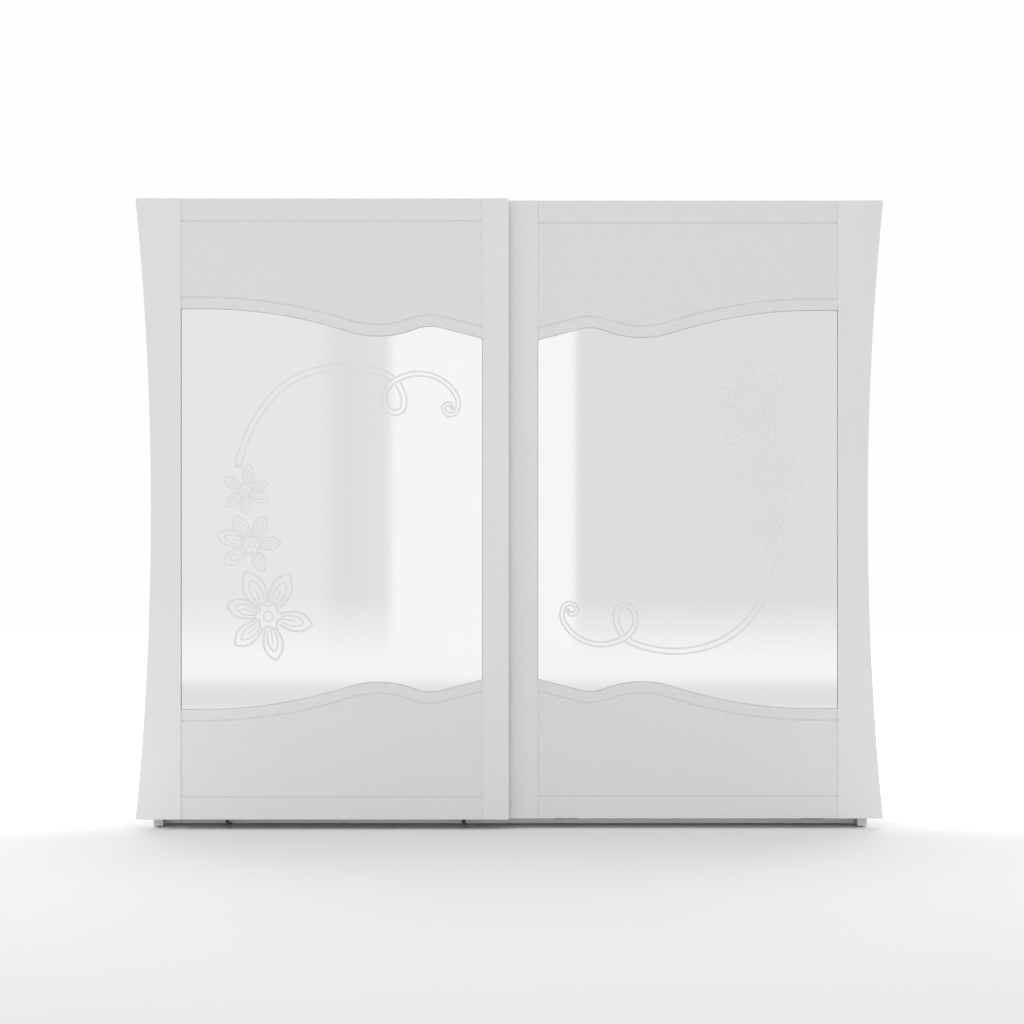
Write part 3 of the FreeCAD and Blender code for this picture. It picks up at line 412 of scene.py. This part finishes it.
def roundEdges(bm, radius, segments, sharperThan=60):
    # rounds the edges that turn by more than so many degrees
    edges = [edge for edge in bm.edges
             if edge.is_manifold and edge.calc_face_angle() > math.radians(sharperThan)]
    bmesh.ops.bevel(bm, geom=edges, offset=radius, offset_type="OFFSET", segments=segments,
                    profile=0.5, affect="EDGES", clamp_overlap=True, material=-1)


# doors

doorSides = {"left": -1, "right": 1}
stileShape = {"waistHollow": 0.059, "edgeRadius": 0.0016, "edgeSegments": 3, "rows": 56}


def sideRange(node, side):
    # the node's X range as (near the middle, away from the middle)
    low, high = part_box(node)
    return (low.x, high.x) if side > 0 else (high.x, low.x)


def makeStile(door, which, side, hollow):
    node = f"{door}_door_{which}_stile"
    low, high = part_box(node)
    near, far = sideRange(node, side)
    half = (high.z - low.z) / 2
    middle = (high.z + low.z) / 2
    bm = bmesh.new()
    rows = stileShape["rows"] if hollow else 1
    bmesh.ops.create_grid(bm, x_segments=1, y_segments=rows, size=0.5)
    for vert in bm.verts:
        rise = vert.co.y * 2 * half
        edge = far
        if hollow:  # the outer edge is one long arc
            radius = (half ** 2 + hollow ** 2) / (2 * hollow)
            edge = far - side * (math.sqrt(radius ** 2 - rise ** 2) - (radius - hollow))
        across = near + (edge - near) * (vert.co.x + 0.5)
        vert.co = Vector((across, low.y, middle + rise))
    thicken(bm, (0, high.y - low.y, 0))
    roundEdges(bm, stileShape["edgeRadius"], stileShape["edgeSegments"])
    return addPiece(f"{door}_door_{which}_stile_skin", bm, f"{door}_door",
                    satinLacquer, [node])


# the mirror's shaped edge, from the outer joint to the inner one; its rise is from the door's middle
shapedEdge = {
    "rise": 0.762, "lead": 0.095, "crownRadius": 1.720, "crownTurn": 16.47, "slopeRun": 0.060,
    "dipRadius": 0.385, "dipTurn": 21.43, "crestRadius": 0.154, "crestTurn": 14.55,
}
panelShape = {
    "columns": 96, "lip": 0.0012, "lipEase": 0.3, "grooveInset": 0.085, "beadInset": 0.043,
    "grooveHalf": 0.0028, "grooveDeep": 0.0032,
    # across a groove with rounded lips, as shares of its half width and its depth
    "grooveSteps": ((-1.35, 0.0), (-1.0, 0.12), (-0.5, 0.72), (0.0, 1.0), (0.5, 0.72), (1.0, 0.12),
                    (1.35, 0.0)),
}


def edgeHeight(along, offset=0.0):
    # height of the shaped edge at one place, or of the curve that keeps the offset above it
    shape = shapedEdge
    crown, dip, crest = (math.radians(shape[key]) for key in ("crownTurn", "dipTurn", "crestTurn"))
    moves = (
        (shape["lead"], 0, 0), (0, shape["crownRadius"] + offset, -crown), (shape["slopeRun"], 0, 0),
        (0, shape["dipRadius"] - offset, crown + dip), (0, shape["crestRadius"] + offset, -dip - crest))
    x, z, heading = 0.0, shape["rise"] + offset, 0.0
    for run, radius, turn in moves:
        if run:
            endX = x + run * math.cos(heading)
            if along <= endX:
                break
            x, z = endX, z + run * math.sin(heading)
            continue
        swing = math.copysign(radius, turn)
        centreX, centreZ = x - swing * math.sin(heading), z + swing * math.cos(heading)
        heading += turn
        endX = centreX + swing * math.sin(heading)
        if along <= endX:
            return centreZ - math.copysign(math.sqrt(radius ** 2 - (along - centreX) ** 2), turn)
        x, z = endX, centreZ - swing * math.cos(heading)
    return z + (along - x) * math.tan(heading)


def groove(centre):
    # height and depth pairs across a shallow groove
    half, deep = panelShape["grooveHalf"], panelShape["grooveDeep"]
    return [(centre + step * half, share * deep) for step, share in panelShape["grooveSteps"]]


def panelSection(along, half, thick):
    # the closed section of a shaped panel at one place, as height above the middle and depth
    lip = panelShape["lip"]
    ease = panelShape["lipEase"] * lip
    edge = edgeHeight(along)
    points = [(half, thick), (half, lip), (half - ease, ease), (half - lip, 0.0)]
    points += reversed(groove(half - panelShape["grooveInset"]))
    bead = edgeHeight(along, panelShape["beadInset"])
    slant = (bead - edge) / panelShape["beadInset"]
    points += [(bead + height * slant, deep) for height, deep in reversed(groove(0.0))]
    points += [(edge + lip, 0.0), (edge + ease, ease), (edge, lip), (edge, thick), (half, thick)]
    return points


def makeShapedPanel(door, level, side):
    node = f"{door}_door_{level}_panel"
    low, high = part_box(node)
    near, far = sideRange(node, side)
    stileLow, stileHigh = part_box(f"{door}_door_inner_stile")
    middle = (stileLow.z + stileHigh.z) / 2
    half = (stileHigh.z - stileLow.z) / 2
    up = 1 if level == "upper" else -1
    columns = panelShape["columns"]
    width = abs(far - near)
    sections = [panelSection(width * column / columns, half, high.y - low.y)
                for column in range(columns + 1)]
    rows = len(sections[0]) - 1
    bm = bmesh.new()
    bmesh.ops.create_grid(bm, x_segments=columns, y_segments=rows, size=0.5)
    for vert in bm.verts:
        column = round((vert.co.x + 0.5) * columns)
        rise, deep = sections[column][round((vert.co.y + 0.5) * rows)]
        vert.co = Vector((far - side * width * column / columns, low.y + deep, middle + up * rise))
    bmesh.ops.remove_doubles(bm, verts=bm.verts[:], dist=0.00002)
    bmesh.ops.holes_fill(bm, edges=[edge for edge in bm.edges if edge.is_boundary], sides=0)
    bmesh.ops.recalc_face_normals(bm, faces=bm.faces[:])
    return addPiece(f"{door}_door_{level}_panel_skin", bm, f"{door}_door",
                    textureLacquer, [node], smoothAngle=50)


mirrorShape = {"gap": 0.0005, "columns": 96, "groundEdge": 0.0009, "groundSegments": 2}


def makeMirror(door, side):
    node = f"{door}_door_mirror"
    low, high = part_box(node)
    near, far = sideRange(node, side)
    gap, columns = mirrorShape["gap"], mirrorShape["columns"]
    width = abs(far - near)
    middle = (low.z + high.z) / 2
    bm = bmesh.new()
    bmesh.ops.create_grid(bm, x_segments=columns, y_segments=1, size=0.5)
    for vert in bm.verts:
        along = width * (vert.co.x + 0.5)
        rise = edgeHeight(along + gap, -gap) * (1 if vert.co.y > 0 else -1)
        vert.co = Vector((far - side * along, low.y, middle + rise))
    thicken(bm, (0, high.y - low.y, 0))
    roundEdges(bm, mirrorShape["groundEdge"], mirrorShape["groundSegments"])
    return addPiece(f"{door}_door_mirror_plate", bm, f"{door}_door", mirrorSilver, [node])


doorFaces = []
for door, side in doorSides.items():
    doorFaces.append(makeStile(door, "outer", side, stileShape["waistHollow"]))
    doorFaces.append(makeStile(door, "inner", side, 0.0))
    for level in ("upper", "lower"):
        doorFaces.append(makeShapedPanel(door, level, side))
    makeMirror(door, side)
print("doors skinned")


# wheels and guide rollers

wheelShape = {
    "bore": 0.00305, "lip": 0.0008, "grooveHalf": 0.0025, "grooveDeep": 0.002, "grooveSteps": 8,
    "hub": 0.0062, "hubHigh": 0.8, "recess": 0.0012, "web": 0.0102, "lipEase": 0.3, "steps": 56,
}
rollerShape = {"bore": 0.00305, "lip": 0.0009, "lipEase": 0.3, "hub": 0.0050, "hubHigh": 0.86, "steps": 40}


def wheelSide(radius, half):
    # one half of a wheel's outline, from the bore to the edge of its running groove
    lip, hubHigh = wheelShape["lip"], half * wheelShape["hubHigh"]
    web, low = wheelShape["web"], half - wheelShape["recess"]
    ease = wheelShape["lipEase"] * lip
    return [(wheelShape["bore"], hubHigh), (wheelShape["hub"], hubHigh), (wheelShape["hub"] + lip, low),
            (web, low), (web + lip, half), (radius - lip, half), (radius - ease, half - ease),
            (radius, half - lip), (radius, wheelShape["grooveHalf"] + ease)]


def wheelOutline(radius, half):
    side = wheelSide(radius, half)
    steps = wheelShape["grooveSteps"]
    running = []
    for step in range(1, steps):
        angle = math.pi * step / steps
        running.append((radius - wheelShape["grooveDeep"] * math.sin(angle),
                        wheelShape["grooveHalf"] * math.cos(angle)))
    return side + running + [(reach, -high) for reach, high in reversed(side)]


def rollerOutline(radius, half):
    lip, hubHigh = rollerShape["lip"], half * rollerShape["hubHigh"]
    ease = rollerShape["lipEase"] * lip
    side = [(rollerShape["bore"], hubHigh), (rollerShape["hub"], hubHigh), (rollerShape["hub"] + lip, half),
            (radius - lip, half), (radius - ease, half - ease), (radius, half - lip)]
    return side + [(reach, -high) for reach, high in reversed(side)]


def turnedPiece(node, outline, upright, steps):
    # the outline is spun about the node's own axis, upright for rollers and front to back for wheels
    low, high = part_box(node)
    centre = (low + high) / 2
    axis = Vector((0, 0, 1)) if upright else Vector((0, 1, 0))
    radius = (high.x - low.x) / 2
    half = (high - low).dot(axis) / 2
    bm = bmesh.new()
    ring = [bm.verts.new(centre + Vector((reach, 0, 0)) + axis * rise)
            for reach, rise in outline(radius, half)]
    edges = [bm.edges.new((first, second)) for first, second in zip(ring, ring[1:] + ring[:1])]
    bmesh.ops.spin(bm, geom=ring + edges, cent=centre, axis=axis, angle=math.tau, steps=steps, use_merge=True)
    bmesh.ops.remove_doubles(bm, verts=bm.verts[:], dist=0.000001)
    bmesh.ops.recalc_face_normals(bm, faces=bm.faces[:])
    return addPiece(f"{node}_turned", bm, node, nylonWhite, [node])


for door in doorSides:
    for end in ("outer", "inner"):
        turnedPiece(f"{door}_door_{end}_wheel", wheelOutline, False, wheelShape["steps"])
        turnedPiece(f"{door}_door_{end}_roller", rollerOutline, True, rollerShape["steps"])
print("running gear turned")


# etched scroll and flowers on the mirrors, from the mirror's middle, as seen on the left door

scrollShape = {
    "start": (-0.358, 0.156), "heading": 80.0,
    "turns": ((0.560, 30), (0.330, 31), (0.425, 40), (0.115, 73), (0.034, 144), (0.075, 86),
              (0.170, 53), (0.156, 46), (0.064, 51), (0.0264, 151), (0.0162, 178)),
    "lowerPass": 4, "lineWidth": 0.0066, "startGap": 0.0235, "endGap": 0.0125, "step": 0.006,
    "solid": 0.022, "tip": 0.0095, "tipSegments": 20,
}
flowerShapes = (
    {"middle": (-0.331, 0.072), "ring": 0.022, "line": 0.0056,
     "petals": ((78, 0.099), (19, 0.090), (-25, 0.100), (-88, 0.094), (-139, 0.095), (151, 0.093))},
    {"middle": (-0.306, -0.136), "ring": 0.032, "line": 0.0062,
     "petals": ((120, 0.127), (65, 0.120), (4, 0.112), (-66, 0.112), (-144, 0.126), (163, 0.138))},
    {"middle": (-0.242, -0.408), "ring": 0.046, "line": 0.0080,
     "petals": ((117, 0.190), (64, 0.180), (-11, 0.171), (-80, 0.170), (-139, 0.168), (164, 0.165))},
)
petalShape = {
    "breadth": 0.225, "base": 0.55, "swell": 1.25, "point": 2.4, "steps": 14,
    "innerLong": 0.74, "innerWide": 0.52, "innerStart": 1.1, "innerLine": 0.8, "vein": 0.50, "veinLine": 0.7,
}
collarShape = {"scallops": 6, "scallopDeep": 0.16, "steps": 48, "eye": 0.40, "eyeLine": 0.7}
etchLift = {"base": 0.00005, "thick": 0.00025, "step": 0.00002}


def scrollCentre():
    # points along the scroll with their heading and place in the chain of arcs, all turning right
    point = Vector(scrollShape["start"])
    heading = math.radians(scrollShape["heading"])
    line = [(point, heading, 0.0)]
    for number, (radius, degrees) in enumerate(scrollShape["turns"]):
        turn = math.radians(degrees)
        centre = point + radius * Vector((math.sin(heading), -math.cos(heading)))
        steps = max(5, round(radius * turn / scrollShape["step"]))
        for step in range(1, steps + 1):
            angle = heading - turn * step / steps
            point = centre + radius * Vector((-math.sin(angle), math.cos(angle)))
            line.append((point, angle, number + step / steps))
        heading -= turn
    return line


def flatBand(bm, line, width, lift, closed=False):
    # a flat ribbon along 2D points: a strip of faces laid along them
    points = [Vector(point) for point in line]
    if closed:
        points.append(points[0].copy())
    last = len(points) - 1
    strip = bmesh.ops.create_grid(bm, x_segments=last, y_segments=1, size=0.5)["verts"]
    for vert in strip:
        number = round((vert.co.x + 0.5) * last)
        before = points[number - 1] if number else points[last - 1 if closed else 0]
        after = points[number + 1] if number < last else points[1 if closed else last]
        along = (after - before).normalized()
        spot = points[number] + Vector((-along.y, along.x)) * width * vert.co.y
        vert.co = Vector((spot.x, -lift, spot.y))
    if closed:
        bmesh.ops.remove_doubles(bm, verts=strip, dist=0.000001)


def etchScroll(bm, lift):
    # two lines that draw together; the lower pass stops short of the loop that crosses it
    centre = scrollCentre()
    end = centre[-1][2]
    upper = [point for point, _, place in centre if place > scrollShape["lowerPass"] + 1]
    clear = (scrollShape["startGap"] + scrollShape["endGap"]) / 4 + scrollShape["lineWidth"] / 2
    for hand in (-1, 1):
        runs = [[]]
        for point, heading, place in centre:
            gap = scrollShape["startGap"] + (scrollShape["endGap"] - scrollShape["startGap"]) * place / end
            spot = point + hand * gap / 2 * Vector((-math.sin(heading), math.cos(heading)))
            under = place < scrollShape["lowerPass"] and min((spot - other).length for other in upper) < clear
            if under:
                if runs[-1]:
                    runs.append([])
                continue
            runs[-1].append(spot)
        for run in runs:
            if len(run) > 2:
                flatBand(bm, run, scrollShape["lineWidth"], lift + hand * etchLift["step"] / 2)
    solid = [point for point, _, _ in centre if (point - centre[0][0]).length < scrollShape["solid"]]
    flatBand(bm, solid, scrollShape["startGap"], lift + etchLift["step"])
    tip = centre[-1][0]
    upright = Matrix.Rotation(math.pi / 2, 4, "X")
    facing = Matrix.Translation((tip.x, -lift - etchLift["step"], tip.y)) @ upright
    bmesh.ops.create_circle(bm, cap_ends=True, segments=scrollShape["tipSegments"],
                            radius=scrollShape["tip"], matrix=facing)


def petalLine(flower, angle, long, start, breadth):
    # from the ring round the tip and back, as 2D points
    middle = Vector(flower["middle"])
    outward = Vector((math.cos(math.radians(angle)), math.sin(math.radians(angle))))
    sideways = Vector((-outward.y, outward.x))
    steps = petalShape["steps"]
    line = []
    for step in range(-steps, steps + 1):
        share = 1 - abs(step) / steps
        wide = breadth * (petalShape["base"] + petalShape["swell"] * share)
        wide *= 1 - share ** petalShape["point"]
        reach = start + (long - start) * share
        line.append(middle + outward * reach + sideways * math.copysign(wide, step))
    return line


def etchFlower(bm, flower, lift):
    line, ring = flower["line"], flower["ring"]
    middle = Vector(flower["middle"])
    collar = []
    for step in range(collarShape["steps"]):  # a small scalloped collar round the eye
        angle = math.tau * step / collarShape["steps"]
        reach = 1 + collarShape["scallopDeep"] * math.cos(collarShape["scallops"] * angle)
        collar.append(reach * Vector((math.cos(angle), math.sin(angle))))
    eye = [middle + collarShape["eye"] * ring * spot.normalized() for spot in collar]
    flatBand(bm, [middle + ring * spot for spot in collar], line, lift, closed=True)
    flatBand(bm, eye, line * collarShape["eyeLine"], lift, closed=True)
    for number, (angle, long) in enumerate(flower["petals"]):
        level = lift + (number % 2 + 1) * etchLift["step"]
        breadth = petalShape["breadth"] * long
        flatBand(bm, petalLine(flower, angle, long, ring, breadth), line, level)
        start = ring * petalShape["innerStart"]
        inner = ring + (long - ring) * petalShape["innerLong"]
        flatBand(bm, petalLine(flower, angle, inner, start, breadth * petalShape["innerWide"]),
                 line * petalShape["innerLine"], level)
        outward = Vector((math.cos(math.radians(angle)), math.sin(math.radians(angle))))
        vein = ring + (long - ring) * petalShape["vein"]
        flatBand(bm, [middle + outward * start, middle + outward * vein],
                 line * petalShape["veinLine"], level)


def etchMirror(door, side):
    low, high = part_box(f"{door}_door_mirror")
    bm = bmesh.new()
    etchScroll(bm, etchLift["base"])
    for number, flower in enumerate(flowerShapes):
        etchFlower(bm, flower, etchLift["base"] + number * 3 * etchLift["step"])
    thicken(bm, (0, -etchLift["thick"], 0))
    if side > 0:  # the right mirror has the same drawing, turned upside down
        bmesh.ops.rotate(bm, verts=bm.verts[:], cent=(0, 0, 0), matrix=Matrix.Rotation(math.pi, 3, "Y"))
    middle = (low + high) / 2
    bmesh.ops.translate(bm, verts=bm.verts[:], vec=(middle.x, low.y, middle.z))
    return addPiece(f"{door}_door_etching", bm, f"{door}_door", frostedGlass)


for door, side in doorSides.items():
    etchMirror(door, side)
print("mirrors etched")


# studio: floor, soft light, camera

studio = {
    "floorHalf": 60.0, "skyLight": 0.74, "skySeen": 0.991,
    # whiteness of the floor by distance, with painted shade and painted brightening that shape the shadow
    # before the doors: behind the camera, before the doors, far behind the wardrobe
    "floorPaintedLightAndShade": ((-16.0, 0.96), (-9.0, 0.82), (-4.5, 0.81), (-2.2, 0.90), (-0.55, 0.855), (-0.25, 0.93),
                   (3.0, 0.97)),
    # painted glow on the floor by distance, seen by the camera and in the mirrors but lighting nothing
    "floorPaintedGlow": ((-17.5, 0.21), (-13.0, 0.08), (-9.0, 0.10), (-6.5, 0.0), (-1.0, 0.0), (6.0, 0.5)),
}


def stagePlane(name, corners, material):
    bm = bmesh.new()
    bm.faces.new([bm.verts.new(corner) for corner in corners])
    mesh = bpy.data.meshes.new(name)
    bm.to_mesh(mesh)
    bm.free()
    mesh.materials.append(material)
    plane = bpy.data.objects.new(name, mesh)
    bpy.context.scene.collection.objects.link(plane)
    return plane


def toneRamp(tree, value, steps):
    # a grey that follows the value through (place, tone) steps, softly
    first, last = steps[0][0], steps[-1][0]
    ramp = addNode(tree, "ShaderNodeValToRGB")
    ramp.color_ramp.interpolation = "EASE"
    stops = ramp.color_ramp.elements
    while len(stops) < len(steps):
        stops.new(0.5)
    for stop, (place, tone) in zip(stops, steps):
        stop.position = (place - first) / (last - first)
        stop.color = (tone, tone, tone, 1)
    wire(tree, remap(tree, value, first, last, 0.0, 1.0), ramp.inputs["Fac"])
    return ramp.outputs["Color"]


def floorFinish():
    # pale floor that gets whiter far off, and isn't seen from below; its tone carries painted shade and
    # painted brightening near the wardrobe, and its emission is a painted glow
    material, tree, shader = newMaterial("studioFloor", rough=0.9, specular=0.05)
    axes = addNode(tree, "ShaderNodeSeparateXYZ")
    wire(tree, objectPoint(tree), axes.inputs["Vector"])
    wire(tree, toneRamp(tree, axes.outputs["Y"], studio["floorPaintedLightAndShade"]), shader.inputs["Base Color"])
    shader.inputs["Emission Color"].default_value = (1, 1, 1, 1)
    glow = toneRamp(tree, axes.outputs["Y"], studio["floorPaintedGlow"])
    bounced = addNode(tree, "ShaderNodeLightPath").outputs["Is Diffuse Ray"]
    unlit = math2(tree, "SUBTRACT", 1.0, bounced)  # the glow is seen but lights nothing
    wire(tree, math2(tree, "MULTIPLY", glow, unlit), shader.inputs["Emission Strength"])
    clear = addNode(tree, "ShaderNodeBsdfTransparent")
    geometry = addNode(tree, "ShaderNodeNewGeometry")
    mix = addNode(tree, "ShaderNodeMixShader")
    output = next(node for node in tree.nodes if node.type == "OUTPUT_MATERIAL")
    wire(tree, geometry.outputs["Backfacing"], mix.inputs["Fac"])
    wire(tree, shader.outputs["BSDF"], mix.inputs[1])
    wire(tree, clear.outputs["BSDF"], mix.inputs[2])
    wire(tree, mix.outputs["Shader"], output.inputs["Surface"])
    return material


def studioWorld():
    world = bpy.data.worlds.new("softStudio")
    world.use_nodes = True
    tree = world.node_tree
    background = tree.nodes["Background"]
    background.inputs["Color"].default_value = (1, 1, 1, 1)
    seen = addNode(tree, "ShaderNodeLightPath").outputs["Is Camera Ray"]
    wire(tree, remap(tree, seen, 0.0, 1.0, studio["skyLight"], studio["skySeen"]),
         background.inputs["Strength"])
    bpy.context.scene.world = world


def softLight(name, power, size, place, target, lit=None):
    data = bpy.data.lights.new(name, "AREA")
    data.shape = "RECTANGLE"
    data.size, data.size_y = size
    data.energy = power
    lamp = bpy.data.objects.new(name, data)
    bpy.context.scene.collection.objects.link(lamp)
    lamp.location = place
    lamp.rotation_euler = (Vector(target) - Vector(place)).to_track_quat("-Z", "Y").to_euler()
    lamp.visible_camera = False
    lamp.visible_glossy = False
    if lit:  # it lights these objects and nothing else
        receivers = bpy.data.collections.new(name + "_lit")
        for receiver in lit:
            receivers.objects.link(receiver)
        lamp.light_linking.receiver_collection = receivers


reflectedWall = {
    "distance": -24.0, "high": 14.0, "half": 30.0, "baseSoft": 0.9, "baseTone": 0.96,
    # plain upright bands of light and grey that the mirrors show
    "tones": ((-8.0, 0.83), (-2.9, 0.83), (-2.45, 0.76), (-1.86, 0.79), (-1.68, 0.955), (0.88, 0.965),
              (1.06, 0.755), (4.0, 0.755), (8.0, 0.80)),
}


def wallFinish():
    material = bpy.data.materials.new("studioWall")
    material.use_nodes = True
    tree = material.node_tree
    tree.nodes.clear()
    axes = addNode(tree, "ShaderNodeSeparateXYZ")
    wire(tree, objectPoint(tree), axes.inputs["Vector"])
    tone = toneRamp(tree, axes.outputs["X"], reflectedWall["tones"])
    base = reflectedWall["baseTone"]
    high = remap(tree, axes.outputs["Z"], 0.0, reflectedWall["baseSoft"], 0.0, 1.0)
    glow = addNode(tree, "ShaderNodeEmission")
    wire(tree, mixColor(tree, high, (base, base, base), tone), glow.inputs["Color"])
    output = addNode(tree, "ShaderNodeOutputMaterial")
    wire(tree, glow.outputs["Emission"], output.inputs["Surface"])
    return material


floorHalf = studio["floorHalf"]
floor = stagePlane("studio_floor", ((-floorHalf, -floorHalf, 0), (floorHalf, -floorHalf, 0),
                                    (floorHalf, floorHalf, 0), (-floorHalf, floorHalf, 0)), floorFinish())
wallY, wallHalf, wallHigh = (reflectedWall[key] for key in ("distance", "half", "high"))
wall = stagePlane("studio_wall", ((-wallHalf, wallY, 0), (-wallHalf, wallY, wallHigh),
                                  (wallHalf, wallY, wallHigh), (wallHalf, wallY, 0)), wallFinish())
wall.visible_camera = False  # only the mirrors see it
wall.visible_diffuse = False
wall.visible_shadow = False
studioWorld()

lamps = {  # power, size, place and the point that it faces
    "top_light": (97, (5.0, 4.0), (0, 1.6, 5.5), (0, 0, 0)),
    "back_light": (370, (10.0, 4.0), (0, 5.0, 5.0), (0, -1.0, 0)),
    "front_light": (70, (6.0, 4.0), (0, -9.0, 4.2), (0, 0, 1.2)),
    "left_light": (52, (4.0, 4.0), (-8.0, -4.0, 3.5), (0, 0, 1.2)),
    "left_foot_light": (0.70, (0.8, 0.4), (-1.9, -0.9, 0.25), (-1.3, -0.34, 0.25)),
    "right_foot_light": (0.45, (0.8, 0.4), (1.9, -0.9, 0.25), (1.3, -0.30, 0.25)),
    "plinth_light": (7.5, (3.2, 0.04), (0, -2.0, 0.025), (0, 0, 0.025)),
}
litAlone = {
    "back_light": [floor], "left_foot_light": doorFaces, "right_foot_light": doorFaces,
    "plinth_light": [nodes["front_plinth"], nodes["bottom_track"]],
}
for lampName, values in lamps.items():
    softLight(lampName, *values, lit=litAlone.get(lampName))

view = {"lens": 75.86, "distance": 8.545, "height": 0.874, "shift": (0.0017, 0.0857)}
cameraData = bpy.data.cameras.new("mainCamera")
cameraData.lens = view["lens"]
cameraData.sensor_width = 36
cameraData.shift_x, cameraData.shift_y = view["shift"]
cameraData.clip_end = 200
camera = bpy.data.objects.new("mainCamera", cameraData)
bpy.context.scene.collection.objects.link(camera)
camera.location = (0, -view["distance"], view["height"])
camera.rotation_euler = (math.radians(90), 0, 0)
bpy.context.scene.camera = camera
bpy.context.scene.view_settings.view_transform = "Standard"
bpy.context.scene.view_settings.look = "None"
print("studio ready")
